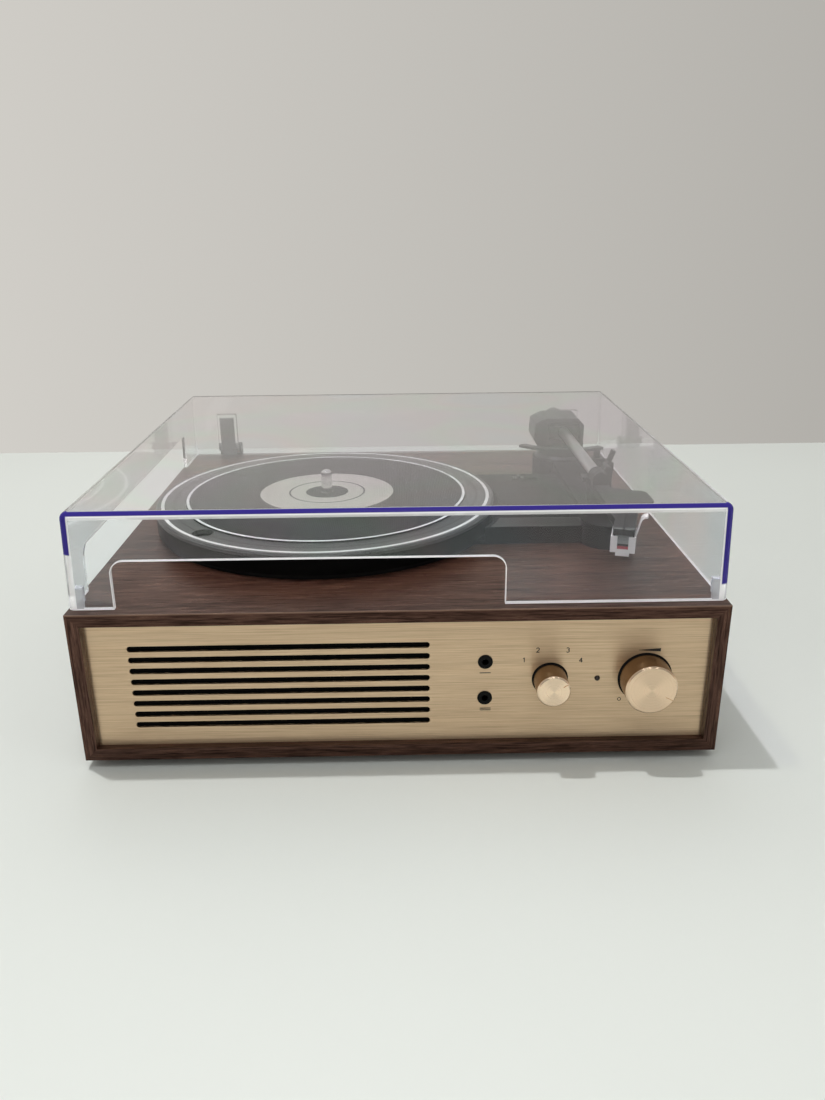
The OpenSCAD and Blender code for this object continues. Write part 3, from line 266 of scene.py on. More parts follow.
def walnut(name, along):
    """Noise stretched along one axis, in three scales, that sets the brown and the gloss."""
    finish, tree, shader = new_finish(name, Specular_Tint=(0.8, 0.46, 0.36, 1))

    def grain(across, length, detail, bend=0.0):
        scale = np.where(np.arange(3) == along, 1 / length, 1 / across)
        return noise(tree, stretched(tree, scale), detail=detail, rough=0.62, bend=bend)

    band = grain(across=0.016, length=0.4, detail=5, bend=0.8)
    fleck = grain(across=0.001, length=0.024, detail=4, bend=0.3)
    pore = grain(across=0.0007, length=0.012, detail=2)
    mixed = maths(tree, "MULTIPLY_ADD", fleck, 0.65, maths(tree, "MULTIPLY", band, 0.35))
    brown = ramp(tree, mixed, (0.34, (0.004, 0.0017, 0.0011)), (0.46, (0.025, 0.0102, 0.0064)),
                 (0.56, (0.058, 0.0267, 0.0174)), (0.7, (0.125, 0.064, 0.044)))
    dark_pore = ramp(tree, pore, (0.33, 0.5), (0.44, 1.0))
    wood = blend(tree, 1.0, brown, dark_pore, "MULTIPLY")
    spot = coordinates(tree)
    # Painted highlight: a thin paler line along the front top edge.
    above = maths(tree, "GREATER_THAN", spot["Z"], PAINTED_EDGE_BASE)
    before = maths(tree, "LESS_THAN", spot["Y"], PAINTED_EDGE_BACK)
    painted_edge_line = both(tree, above, before)
    feed(tree, shader, "Base Color", blend(tree, painted_edge_line, wood, (0.17, 0.105, 0.075)))
    feed(tree, shader, "Roughness", ramp(tree, fleck, (0.3, 0.4), (0.65, 0.26)))
    gloss = ramp(tree, mixed, (0.36, 0.15), (0.6, 1.15))
    feed(tree, shader, "Specular IOR Level", maths(tree, "MULTIPLY", gloss, dark_pore))
    bump(tree, shader, maths(tree, "ADD", fleck, pore), 0.2, 0.0002)
    return finish


walnut_across = walnut("walnut_grain_across", 0)
walnut_upright = walnut("walnut_grain_upright", 2)
print("wood finishes:", walnut_across.name, walnut_upright.name)

# %% [markdown]
# ## Brushed gold
#
# The front panel is anodised aluminium, brushed from side to side: fine lines that are a little
# lighter or darker, and that spread a reflection upwards and downwards.

# %% Brushed panel
LINE_STRETCH, CLOUD_STRETCH = (26, 40, 2400), (3, 3, 220)


def brushed_gold():
    """Lines from noise that is about ninety times finer along Z than along X."""
    finish, tree, shader = new_finish("brushed_gold", metallic=1.0, roughness=0.4, Anisotropic=0.9)
    upwards = add_node(tree, "ShaderNodeCombineXYZ", {"Z": 1.0}).outputs[0]
    feed(tree, shader, "Tangent", upwards)
    line = noise(tree, stretched(tree, LINE_STRETCH), detail=4, rough=0.7)
    cloud = noise(tree, stretched(tree, CLOUD_STRETCH), detail=2)
    tone = ramp(tree, line, (0.25, (0.53, 0.385, 0.245)), (0.5, (0.73, 0.54, 0.355)),
                (0.75, (0.85, 0.66, 0.455)))
    shade = ramp(tree, cloud, (0.3, 0.96), (0.7, 1.02))
    feed(tree, shader, "Base Color", blend(tree, 1.0, tone, shade, "MULTIPLY"))
    feed(tree, shader, "Roughness", ramp(tree, line, (0.2, 0.4), (0.8, 0.32)))
    bump(tree, shader, line, 0.35, 0.0001)
    return finish


gold_panel = brushed_gold()
print("panel finish:", gold_panel.name)

# %% [markdown]
# ## Turned rose gold
#
# The knobs are turned, so their fine lines run round the axis. On the faces these lines are concentric,
# and the shading along them gives part of the fan of light and dark that turned metal shows; the rest
# of the fan is painted into the colour as painted highlight and shade, by cos 2a of the angle about the
# axis. The sides get painted shade: their tone is multiplied by a share, so they look darker than the
# faces.

# %% Turned knobs
KNOB_RIM, TURNED_LINES = -0.1724, 2600
# Painted shade: the tone of the knob sides is multiplied by this share.
KNOB_SIDE_SHADE = (0.36, 0.31, 0.25)


def turned_gold(name, x, z, tone):
    """Rings: noise of the distance from the knob's axis. Fan of painted highlight and shade: cos 2a of
    the angle a about it.
    """
    finish, tree, shader = new_finish(name, metallic=1.0, roughness=0.24, colour=tone, Anisotropic=0.8)
    side = maths(tree, "GREATER_THAN", coordinates(tree)["Y"], KNOB_RIM)
    side_shaded = blend(tree, side, tone, np.multiply(tone, KNOB_SIDE_SHADE))
    spot = stretched(tree, (1, 0, 1), (x, 0, z))
    far = add_node(tree, "ShaderNodeVectorMath", {0: spot}, operation="LENGTH").outputs["Value"]
    outwards = add_node(tree, "ShaderNodeVectorMath", {0: spot}, operation="NORMALIZE").outputs[0]
    spread = blend(tree, side, outwards, (0, 1, 0))
    tangent = add_node(tree, "ShaderNodeVectorTransform", {"Vector": spread}, vector_type="VECTOR",
                       convert_from="OBJECT", convert_to="WORLD").outputs[0]
    feed(tree, shader, "Tangent", tangent)
    ring = noise(tree, add_node(tree, "ShaderNodeCombineXYZ", {"X": far}).outputs[0], TURNED_LINES, 3)
    shade = ramp(tree, ring, (0.3, 0.92), (0.7, 1.03))
    flat = add_node(tree, "ShaderNodeSeparateXYZ", {"Vector": spot}).outputs
    # Painted highlight and shade: a fan by cos 2a about the axis, multiplied into the colour.
    angle = maths(tree, "ARCTAN2", flat["Z"], flat["X"])
    wave = maths(tree, "COSINE", maths(tree, "MULTIPLY", angle, 2.0))
    painted_fan = ramp(tree, maths(tree, "MULTIPLY_ADD", wave, 0.5, 0.5), (0.2, 0.9), (0.8, 1.04))
    turned = blend(tree, 1.0, side_shaded, shade, "MULTIPLY")
    feed(tree, shader, "Base Color", blend(tree, 1.0, turned, painted_fan, "MULTIPLY"))
    feed(tree, shader, "Roughness", ramp(tree, ring, (0.3, 0.3), (0.7, 0.2)))
    bump(tree, shader, ring, 0.3, 0.00005)
    return finish


print("turned finish:", turned_gold.__name__, "is called once for each knob, further down")

# %% [markdown]
# ## Plain finishes with a little life
#
# Moulded plastic is never one flat colour: its surface has a fine spark-eroded grain, and handling
# leaves it glossier in places. One function makes the whole family. It takes a colour, a
# roughness and the size of the grain: wide noise varies the first two, and fine noise is the grain.

# %% Moulded, painted and polished finishes
def moulded(name, colour, roughness, grain=1400.0, depth=0.25, metallic=0.0, vary=0.25, **sockets):
    """Fine noise for the grain's bump, and wide noise for changes of colour and roughness."""
    finish, tree, shader = new_finish(name, roughness, metallic, colour, **sockets)
    fine = plain_noise(tree, grain, 2)
    wide = plain_noise(tree, 28, 4)
    shade = ramp(tree, wide, (0.3, 1 - vary), (0.7, 1 + vary))
    feed(tree, shader, "Base Color", blend(tree, 1.0, colour, shade, "MULTIPLY"))
    feed(tree, shader, "Roughness", ramp(tree, wide, (0.3, roughness * 1.15), (0.7, roughness * 0.85)))
    bump(tree, shader, fine, depth, 0.0002)
    return finish


INLAY_GLINT_WIDTH = 0.0011


def glint_outlined_inlay():
    """Dark satin plastic with a painted highlight: a paler border where the smallest distance to a side
    of the inlay's box is small.
    """
    finish, tree, shader = new_finish("deck_inlay_plastic", roughness=0.3, Specular_IOR_Level=0.3)
    low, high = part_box("bridge_inlay")
    spot = coordinates(tree)
    aside = apart(tree, spot["X"], (low.x + high.x) / 2)
    ahead = apart(tree, spot["Y"], (low.y + high.y) / 2)
    to_side = maths(tree, "SUBTRACT", (high.x - low.x) / 2, aside)
    to_end = maths(tree, "SUBTRACT", (high.y - low.y) / 2, ahead)
    # Painted highlight: the paler border stands for light caught by the inlay's edges.
    border = maths(tree, "LESS_THAN", maths(tree, "MINIMUM", to_side, to_end), INLAY_GLINT_WIDTH)
    grain = plain_noise(tree, 28, 4)
    dark = ramp(tree, grain, (0.3, 0.009), (0.7, 0.014))
    feed(tree, shader, "Base Color", blend(tree, border, dark, (0.06, 0.062, 0.06)))
    return finish


black_plastic = moulded("black_moulded_plastic", (0.016, 0.017, 0.018), 0.42)
deck_plastic = moulded("deck_plastic", (0.008, 0.0082, 0.0085), 0.5, depth=0.06, Specular_IOR_Level=0.1)
jack_black = moulded("jack_black", (0.004, 0.004, 0.004), 0.4, depth=0.05, Specular_IOR_Level=0.1)
hinge_plastic = moulded("smoky_hinge_plastic", (0.16, 0.16, 0.16), 0.35, depth=0.05)
black_board = moulded("black_painted_board", (0.018, 0.018, 0.019), 0.6, grain=500, depth=0.5)
inlay_plastic = glint_outlined_inlay()
soft_rubber = moulded("soft_rubber", (0.014, 0.014, 0.014), 0.78, grain=700, depth=0.4)
satin_metal = moulded("satin_metal", (0.62, 0.63, 0.63), 0.34, grain=2200, depth=0.1,
                      metallic=1.0, vary=0.06)
polished_steel = moulded("polished_steel", (0.78, 0.78, 0.79), 0.14, grain=300, depth=0.02,
                         metallic=1.0, vary=0.04)
turned_brass = moulded("turned_brass", (0.72, 0.52, 0.22), 0.24, grain=1800, depth=0.1,
                       metallic=1.0, vary=0.08)
dark_metal = moulded("dark_painted_metal", (0.03, 0.03, 0.032), 0.34, grain=1200, depth=0.2)
cone_paper = moulded("speaker_paper", (0.03, 0.03, 0.031), 0.85, grain=420, depth=0.6)
board_lacquer = moulded("circuit_board_lacquer", (0.016, 0.11, 0.045), 0.3, grain=350, depth=0.15)
stylus_red = moulded("stylus_red", (0.42, 0.05, 0.07), 0.3, depth=0.08)
lamp_lens = moulded("lamp_lens", (0.03, 0.022, 0.02), 0.12, depth=0.02)
print("plain finishes made")

# %% [markdown]
# ## Grille cloth
#
# Black cloth is stretched behind the slots. Two sine waves at right angles make its plain weave;
# the higher of the two shows on top, as warp and weft do.

# %% Grille cloth finish
WEAVE = 7000


def woven_cloth():
    """Height is the larger of two sine waves along X and Z, 2 pi / WEAVE = 0.9 mm apart."""
    finish, tree, shader = new_finish("grille_weave", roughness=0.9, Specular_IOR_Level=0.03)
    scaled = stretched(tree, (WEAVE, WEAVE, WEAVE))
    spot = add_node(tree, "ShaderNodeSeparateXYZ", {"Vector": scaled}).outputs
    warp, weft = (maths(tree, "SINE", spot[axis]) for axis in "XZ")
    height = maths(tree, "MAXIMUM", warp, weft)
    feed(tree, shader, "Base Color", ramp(tree, height, (0.0, 0.001), (1.0, 0.006)))
    bump(tree, shader, height, 0.6, 0.0003)
    return finish


grille_weave = woven_cloth()
print("cloth finish:", grille_weave.name)

# %% [markdown]
# ## Platter rim and mat
#
# The rim carries fine grooves, which are painted as thin dark lines of shade, and one printed white
# ring near its edge. The mat has a white ring at its border, a field of small dots, a pale label disc
# and a dark centre. Nearly all of it depends on one number, the distance from the spindle, so a
# material works that out once and compares it with the radii. The motor pulley below the platter's
# access hole has ribs, painted as pale and dark stripes of light and shade.

# %% Rings round the spindle
SPINDLE, PULLEY_SHAFT = (-0.048, -0.008, 0), (-0.11747, -0.07993, 0)
RIM_PRINT, RIM_STEP, RIM_GAP_SHADE = (0.1078, 0.0021), (0.1029, 0.0022), (0.1005, 0.0011)
RIM_BASE, GROOVE_PITCH = 0.1062, 0.0024
MAT_PRINT, HUB_PRINT = (0.0918, 0.0018), (0.025, 0.0012)
LABEL_RADIUS, HUB_RADIUS, DOT_PITCH = 0.0446, 0.0142, 0.0016
PULLEY_RIBS = 22


def ring_at(tree, far, radius, width):
    """1 on a ring of that radius and width, 0 elsewhere, with an edge as soft as a print's."""
    return within(tree, apart(tree, far, radius), width / 2, 0.00012)


def waves(tree, value, pitch):
    """A sine wave along a value, with its crests one pitch apart."""
    return maths(tree, "SINE", maths(tree, "MULTIPLY", value, 2 * np.pi / pitch))


def spindle_distance(tree):
    """Distance from the spindle's axis, in metres."""
    spot = stretched(tree, (1, 1, 0), SPINDLE)
    return add_node(tree, "ShaderNodeVectorMath", {0: spot}, operation="LENGTH").outputs["Value"]


print("white rings at", RIM_PRINT[0], "m on the rim and", MAT_PRINT[0], "m on the mat")

# %% [markdown]
# The rim's colour is laid up in layers, from the dark ground to the print on top. Below the rim the
# platter is plain black, and there the height decides.

# %% Rim
def printed_rim():
    """Dark satin plastic with grooves 2.4 mm apart painted as thin dark lines of shade, painted shade
    in a gap at 100.5 mm, and a white ring at 108 mm; black below.
    """
    finish, tree, shader = new_finish("platter_rim_print", roughness=0.34, Specular_IOR_Level=0.3)
    far = spindle_distance(tree)
    grain = plain_noise(tree, 900, 2)
    dark = ramp(tree, grain, (0.3, (0.042, 0.043, 0.044)), (0.7, (0.058, 0.059, 0.06)))
    # Painted shade: dark lines in the grooves and a dark ring in the gap beside the step.
    groove_shade = ramp(tree, waves(tree, far, GROOVE_PITCH), (0.75, 0.0), (1.0, 0.6))
    lines = blend(tree, groove_shade, dark, (0.006, 0.006, 0.007))
    stepped = blend(tree, ring_at(tree, far, *RIM_GAP_SHADE), lines, (0.004, 0.004, 0.004))
    stepped = blend(tree, ring_at(tree, far, *RIM_STEP), stepped, (0.05, 0.052, 0.052))
    printed = blend(tree, ring_at(tree, far, *RIM_PRINT), stepped, (0.6, 0.61, 0.6))
    skirt = within(tree, coordinates(tree)["Z"], RIM_BASE)
    feed(tree, shader, "Base Color", blend(tree, skirt, printed, (0.004, 0.004, 0.004)))
    feed(tree, shader, "Specular IOR Level", maths(tree, "MULTIPLY_ADD", skirt, -0.27, 0.3))
    bump(tree, shader, grain, 0.15, 0.0002)
    return finish


rim_print = printed_rim()
print("rim finish:", rim_print.name)

# %% [markdown]
# The mat is laid up in the same way. Its dots come from two waves at right angles, both turned by 45
# degrees: a dot lies where the product of the waves is high.

# %% Mat and pulley
def printed_mat():
    """Dots: the product of two sine waves, 1.6 mm apart. Print: rings and discs of the distance."""
    finish, tree, shader = new_finish("platter_mat_print", roughness=0.6, Specular_IOR_Level=0.12)
    far = spindle_distance(tree)
    spot = coordinates(tree, SPINDLE, (0, 0, np.radians(45)))
    dots = maths(tree, "MULTIPLY", *(waves(tree, spot[axis], DOT_PITCH) for axis in "XY"))
    # Painted sheen: faint tints that drift over the charcoal, from wide noise.
    painted_sheen = plain_noise(tree, 11, 2)
    charcoal = ramp(tree, painted_sheen, (0.34, (0.011, 0.014, 0.012)), (0.45, (0.015, 0.013, 0.018)),
                    (0.55, (0.012, 0.015, 0.016)), (0.66, (0.018, 0.014, 0.016)))
    dotted = ramp(tree, dots, (0.2, 0.0), (0.7, 0.75))
    ground = blend(tree, dotted, charcoal, (0.03, 0.029, 0.031))
    label = blend(tree, within(tree, far, LABEL_RADIUS), ground, (0.345, 0.33, 0.305))
    hub_ring = blend(tree, ring_at(tree, far, *HUB_PRINT), label, (0.04, 0.04, 0.045))
    centre = blend(tree, within(tree, far, HUB_RADIUS), hub_ring, (0.022, 0.022, 0.025))
    border = blend(tree, ring_at(tree, far, *MAT_PRINT), centre, (0.6, 0.61, 0.61))
    feed(tree, shader, "Base Color", border)
    bump(tree, shader, dots, 0.3, 0.0002)
    return finish


def ribbed_pulley():
    """Ribs from the angle about the motor shaft: a sine with 22 waves in a turn, painted as pale crests
    and dark troughs of light and shade.
    """
    finish, tree, shader = new_finish("ribbed_pulley", roughness=0.36)
    spot = coordinates(tree, PULLEY_SHAFT)
    angle = maths(tree, "ARCTAN2", spot["Y"], spot["X"])
    ribs = maths(tree, "SINE", maths(tree, "MULTIPLY", angle, PULLEY_RIBS))
    # Painted highlight and shade: pale crests and dark troughs on the ribs.
    tone = ramp(tree, ribs, (0.2, (0.02, 0.02, 0.021)), (0.8, (0.5, 0.5, 0.5)))
    feed(tree, shader, "Base Color", tone)
    bump(tree, shader, ribs, 0.5, 0.0005)
    return finish


mat_print = printed_mat()
pulley_ribs = ribbed_pulley()
print("platter finishes:", mat_print.name, pulley_ribs.name)

# %% [markdown]
# ## Head shell and cartridge
#
# The head points almost straight at the camera, so its small parts show: a seam along the middle of the
# shell's top, a pale line on each half of its front edge, which is a painted highlight where that edge
# catches the light, and a dark foot below the grey face of the cartridge. The shell is turned by 17
# degrees, so its pattern reads coordinates that are turned with it.

# %% Head finishes
NOSE, SHELL_TURN = (0.1225, -0.13169, 0), np.radians(17)
SEAM, HALF_START, HALF_END = 0.0004, 0.0008, 0.0053
SHELL_FRONT, SHELL_EDGE_HEIGHT, CARTRIDGE_FOOT = 0.0006, 0.1254, 0.0013


def shell_plastic():
    """Across and along are coordinates in the shell's own directions; the marks are ranges of them."""
    finish, tree, shader = new_finish("head_shell_plastic", roughness=0.45, Specular_IOR_Level=0.25)
    spot = coordinates(tree, NOSE, (0, 0, SHELL_TURN))
    aside = maths(tree, "ABSOLUTE", spot["X"])
    seam = within(tree, aside, SEAM)
    halves = both(tree, maths(tree, "GREATER_THAN", aside, HALF_START), within(tree, aside, HALF_END))
    high = maths(tree, "GREATER_THAN", spot["Z"], SHELL_EDGE_HEIGHT)
    # Painted highlight: a pale line on each half of the shell's front top edge.
    painted_front_glint = both(tree, halves, within(tree, spot["Y"], SHELL_FRONT), high)
    grain = plain_noise(tree, 1400, 2)
    black = ramp(tree, grain, (0.3, (0.012, 0.013, 0.013)), (0.7, (0.02, 0.021, 0.021)))
    seamed = blend(tree, seam, black, (0.004, 0.004, 0.004))
    feed(tree, shader, "Base Color", blend(tree, painted_front_glint, seamed, (0.13, 0.135, 0.13)))
    bump(tree, shader, grain, 0.2, 0.0002)
    return finish


def cartridge_plastic():
    """Grey with a fine grain, and dark in the lowest 1.3 mm."""
    finish, tree, shader = new_finish("cartridge_plastic", roughness=0.4)
    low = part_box("cartridge")[0]
    foot = within(tree, coordinates(tree)["Z"], low.z + CARTRIDGE_FOOT)
    grain = plain_noise(tree, 1600, 2)
    grey = ramp(tree, grain, (0.3, (0.22, 0.24, 0.235)), (0.7, (0.3, 0.32, 0.315)))
    feed(tree, shader, "Base Color", blend(tree, foot, grey, (0.015, 0.017, 0.016)))
    bump(tree, shader, grain, 0.2, 0.0002)
    return finish


shell_black = shell_plastic()
cartridge_grey = cartridge_plastic()
print("head finishes:", shell_black.name, cartridge_grey.name)

# %% [markdown]
# ## Clear lid
#
# The lid is one clear moulding, just under three millimetres thick. Glass with the index of acrylic
# bends light at its edges, which is what makes them show. The edge where the front meets the top is
# deep violet-blue, because one looks through a long stretch of the faintly tinted plastic there. Thin
# white lines are painted below it, on the inner fillet, beside the corners, at the foot and round the
# cut-out: painted highlights where these edges catch the light, which also glow faintly, a painted glow
# though the lid is no lamp. Lamps should reach the player through the lid, so for shadow rays the
# shader is plain transparent.

# %% Clear plastic
def clear_plastic(name, tint, roughness, passes):
    """Glass for what is seen, and a transparent shader for the rays that look for lamps."""
    finish, tree, shader = new_finish(name, roughness, colour=tint, IOR=1.49, Transmission_Weight=1.0)
    rays = add_node(tree, "ShaderNodeLightPath").outputs["Is Shadow Ray"]
    open_to_lamps = add_node(tree, "ShaderNodeBsdfTransparent", {"Color": (*passes, 1)}).outputs[0]
    mixed = add_node(tree, "ShaderNodeMixShader", {0: rays, 1: shader.outputs[0], 2: open_to_lamps})
    tree.links.new(mixed.outputs[0], tree.nodes["Material Output"].inputs["Surface"])
    return finish, tree, shader


guard_clear, _, milky = clear_plastic("milky_guard_plastic", (0.9, 0.89, 0.9), 0.2, (0.8, 0.8, 0.82))
milky.inputs["Transmission Weight"].default_value = 0.35
print("clear finish:", guard_clear.name)

# %% [markdown]
# The lid's edges are found by distance. Its walls lean inwards on their way up, so a distance from
# the front or a side is measured from the leaning wall. A mask is 1 where a distance is within a
# limit. The cut-out in the front has round corners: its outline is where the distance from a smaller
# rectangle equals the radius of the corners, which is the usual formula for a rounded box.

# %% Masks on the lid
LID_LEAN, LID_WALL, LINE_SOFT = 0.0244, 0.0034, 0.00012
RIDGE_DEPTH, RIDGE_DROP = 0.0031, 0.0019
VIOLET_DROP, LEFT_VIOLET_LESS = 0.0439, 0.0212
CORNER, LUG, LUG_TOP = 0.0042, 0.0088, 0.0116
BELOW_RIDGE, FILLET, BESIDE_CORNER, FRONT_SKIN, FOOT_LINE = 0.0027, 0.0039, 0.0051, 0.0006, 0.0008
NOTCH_MIDDLE, NOTCH_HALF, NOTCH_TOP, NOTCH_RADIUS, NOTCH_LINE = -0.047, 0.096, 0.113, 0.007, 0.00045


def notch_outline(tree, x, z):
    """|d - r|, where d = |max(q, 0)| + min(max(qx, qz), 0) and q is how far a point is out of a box."""
    aside = maths(tree, "SUBTRACT", apart(tree, x, NOTCH_MIDDLE), NOTCH_HALF)
    above = maths(tree, "SUBTRACT", z, NOTCH_TOP)
    squares = [maths(tree, "POWER", maths(tree, "MAXIMUM", out, 0.0), 2.0) for out in (aside, above)]
    outside = maths(tree, "SQRT", maths(tree, "ADD", *squares))
    inside = maths(tree, "MINIMUM", maths(tree, "MAXIMUM", aside, above), 0.0)
    return apart(tree, maths(tree, "ADD", outside, inside), NOTCH_RADIUS)


def lid_masks(tree):
    """Masks of the violet edges, the white lines of painted highlight, and the frosted corners and
    lugs.
    """
    low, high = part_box("dust_cover")
    x, y, z = coordinates(tree)
    lean = maths(tree, "MULTIPLY", maths(tree, "SUBTRACT", z, low.z), LID_LEAN)
    from_front = maths(tree, "SUBTRACT", maths(tree, "SUBTRACT", y, low.y), lean)
    inwards = maths(tree, "SUBTRACT", high.x, maths(tree, "ABSOLUTE", x))
    from_side = maths(tree, "SUBTRACT", inwards, lean)
    from_roof = maths(tree, "SUBTRACT", high.z, z)

    def near(value, limit, soft=LINE_SOFT):
        return within(tree, value, limit, soft)

    wall = near(from_front, LID_WALL)
    corner = both(tree, near(from_side, CORNER), near(from_front, CORNER))
    on_left = maths(tree, "LESS_THAN", x, 0.0)
    drop = maths(tree, "MULTIPLY_ADD", on_left, LEFT_VIOLET_LESS, from_roof)
    upper = both(tree, corner, near(drop, VIOLET_DROP, 0.0004))
    ridge = both(tree, near(from_front, RIDGE_DEPTH, 0.0003), near(from_roof, RIDGE_DROP))
    violet = either(tree, upper, ridge)

    # Painted highlights: the white lines below the ridge, on the fillet, beside the corners, at the
    # foot and round the cut-out.
    below_ridge = both(tree, wall, near(from_roof, BELOW_RIDGE))
    fillet = both(tree, wall, near(from_roof, FILLET))
    beside_corner = both(tree, near(from_front, FRONT_SKIN), near(from_side, BESIDE_CORNER))
    around = either(tree, wall, near(from_side, LID_WALL))
    foot = both(tree, around, near(z, low.z + FOOT_LINE))
    notch = both(tree, wall, near(notch_outline(tree, x, z), NOTCH_LINE))
    faint_fillet = maths(tree, "MULTIPLY", fillet, 0.7)
    white = either(tree, below_ridge, beside_corner, foot, notch, faint_fillet)

    lug = both(tree, near(from_side, LUG), near(from_front, LUG), near(z, low.z + LUG_TOP))
    return violet, white, either(tree, corner, lug)


print("lid edges:", "violet ridge and corners, white lines, frosted lugs")

# %% [markdown]
# The masks now choose the colour and how much light passes. A slow drift of pale tints lies over the
# whole sheet, because moulding leaves stresses in clear plastic that tint what one sees in it.

# %% Lid finish
def lid_plastic():
    """Violet, white and frosted parts over a clear sheet, the white parts a painted highlight with a
    faint painted glow; the drift is wide noise.
    """
    finish, tree, shader = clear_plastic("clear_lid_plastic", (0.97, 0.97, 0.985), 0.0,
                                         (0.93, 0.93, 0.95))
    violet, white, frosted = lid_masks(tree)
    drift = plain_noise(tree, 9.0, 1)
    tinted = ramp(tree, drift, (0.36, (0.975, 0.945, 0.985)), (0.46, (0.935, 0.985, 0.95)),
                  (0.55, (0.985, 0.95, 0.955)), (0.64, (0.94, 0.965, 0.99)))
    veil = ramp(tree, drift, (0.36, (1.0, 0.91, 1.0)), (0.46, (0.9, 1.0, 0.93)),
                (0.55, (1.0, 0.92, 0.95)), (0.64, (0.91, 0.95, 1.0)))
    feed(tree, shader, "Specular Tint", veil)
    pale = blend(tree, frosted, tinted, (0.72, 0.73, 0.76))
    # Painted highlight: the white lines are pale and let less light through.
    glint_lined = blend(tree, white, pale, (0.9, 0.9, 0.9))
    feed(tree, shader, "Base Color", blend(tree, violet, glint_lined, (0.05, 0.034, 0.3)))
    shares = ((white, 0.75), (frosted, 0.5), (violet, 0.94))
    cloudy = either(tree, *(maths(tree, "MULTIPLY", mask, share) for mask, share in shares))
    feed(tree, shader, "Transmission Weight", maths(tree, "SUBTRACT", 1.0, cloudy))
    feed(tree, shader, "Specular IOR Level", maths(tree, "MULTIPLY_ADD", violet, -0.42, 0.5))
    # Painted glow: the white lines outside the violet give off a faint light of their own.
    shader.inputs["Emission Color"].default_value = (1, 0.99, 0.98, 1)
    plain = maths(tree, "SUBTRACT", 1.0, violet)
    feed(tree, shader, "Emission Strength", maths(tree, "MULTIPLY", both(tree, white, plain), 0.16))
    return finish


lid_clear = lid_plastic()
print("lid finish:", lid_clear.name)

# %% [markdown]
# ## Finishes on the CAD pieces
#
# Most CAD solids already have the right shape, so they only need their finish. A table of names
# keeps this readable: each row is one finish and the pieces that wear it.

# %% Dress the CAD nodes
wardrobe = {
    walnut_across: "cabinet_top cabinet_bottom",
    walnut_upright: "cabinet_left cabinet_right",
    gold_panel: "front_panel",
    black_board: "rear_panel speaker_baffle",
    grille_weave: "grille_cloth",
    deck_plastic: "deck_plate",
    black_plastic: "arm_pillar cue_lever cue_sleeve arm_rest speed_switch terminal_plate "
                   "power_inlet bearing_housing force_dial hinge_bases",
    hinge_plastic: "hinge_leaves",
    shell_black: "head_shell",
    jack_black: "aux_jack headphone_jack",
    inlay_plastic: "bridge_inlay",
    rim_print: "platter",
    mat_print: "platter_mat",
    polished_steel: "spindle thrust_ball motor_shaft swing_shaft hinge_pins volume_shaft "
                    "source_shaft rear_screws",
    satin_metal: "arm_tube heat_sink motor",
    turned_brass: "platter_bearing board_standoffs line_out_sockets",
    soft_rubber: "feet drive_belt motor_grommets",
    pulley_ribs: "motor_pulley",
    dark_metal: "pivot_block counterweight lift_platform volume_control source_switch "
                "speaker_magnets speaker_frames",
    cone_paper: "speaker_cones",
    board_lacquer: "amplifier_board",
    cartridge_grey: "cartridge",
    stylus_red: "stylus",
    lamp_lens: "pilot_lamp",
    lid_clear: "dust_cover",
    guard_clear: "stylus_guard",
}


def dress(name, finish):
    """Gives a CAD node one finish."""
    nodes[name].data.materials.clear()
    nodes[name].data.materials.append(finish)
    print(name, "wears", finish.name)


for finish, names in wardrobe.items():
    for name in names.split():
        dress(name, finish)

# %% [markdown]
# The pattern of a knob is centred on its own axis, so each knob gets a finish of its own. The small
# one is a little paler.

# %% Dress the knobs
SOURCE_X, VOLUME_X, CONTROL_HEIGHT = 0.0814, 0.1334, 0.049
KNOBS = {"source_knob": (SOURCE_X, (0.98, 0.76, 0.555)), "volume_knob": (VOLUME_X, (0.88, 0.66, 0.465))}
for name, (x, tone) in KNOBS.items():
    dress(name, turned_gold("turned_" + name, x, CONTROL_HEIGHT, tone))

# %% [markdown]
# ## Printed marks on the panel
#
# The panel has small dark marks round its controls. Plain numerals stand at the four places of the
# source knob, a wedge above the volume knob shows which way is louder, and bars tell the two jacks
# apart. Each stroke is a ribbon: we walk along a path and put one point to its left and one to its
# right. All strokes go into one mesh, a hair's breadth in front of the panel.

# %% Strokes
def ribbon(path, width):
    """Points p - w/2 n and p + w/2 n for each p of a path; n is its direction turned by 90 degrees."""
    path = np.asarray(path, float)
    along = np.gradient(path, axis=0)
    along /= np.linalg.norm(along, axis=1, keepdims=True)
    across = np.stack([-along[:, 1], along[:, 0]], 1) * np.broadcast_to(width, len(path))[:, None] / 2
    return np.stack([path - across, path + across], 1)


def arc(x, z, radius, start, end):
    """Points on a circle between two angles in degrees."""
    angle = np.radians(np.linspace(start, end, 20))
    return np.stack([x + radius * np.cos(angle), z + radius * np.sin(angle)], 1)


NUMERALS = [
    [[(-0.18, 0.28), (0.06, 0.5)], [(0.06, 0.5), (0.06, -0.5)]],
    [np.vstack([arc(0, 0.22, 0.28, 170, -35), [(-0.28, -0.5)]]), [(-0.3, -0.46), (0.32, -0.46)]],
    [arc(0, 0.24, 0.26, 150, -80), arc(0, -0.22, 0.28, 85, -150)],
    [[(0.12, 0.5), (-0.32, -0.2)], [(-0.36, -0.2), (0.34, -0.2)], [(0.12, 0.5), (0.12, -0.5)]],
]
print("numerals:", len(NUMERALS), "strokes:", sum(map(len, NUMERALS)))

# %% [markdown]
# The places below are measured from the middle of the panel and from the table, in metres.

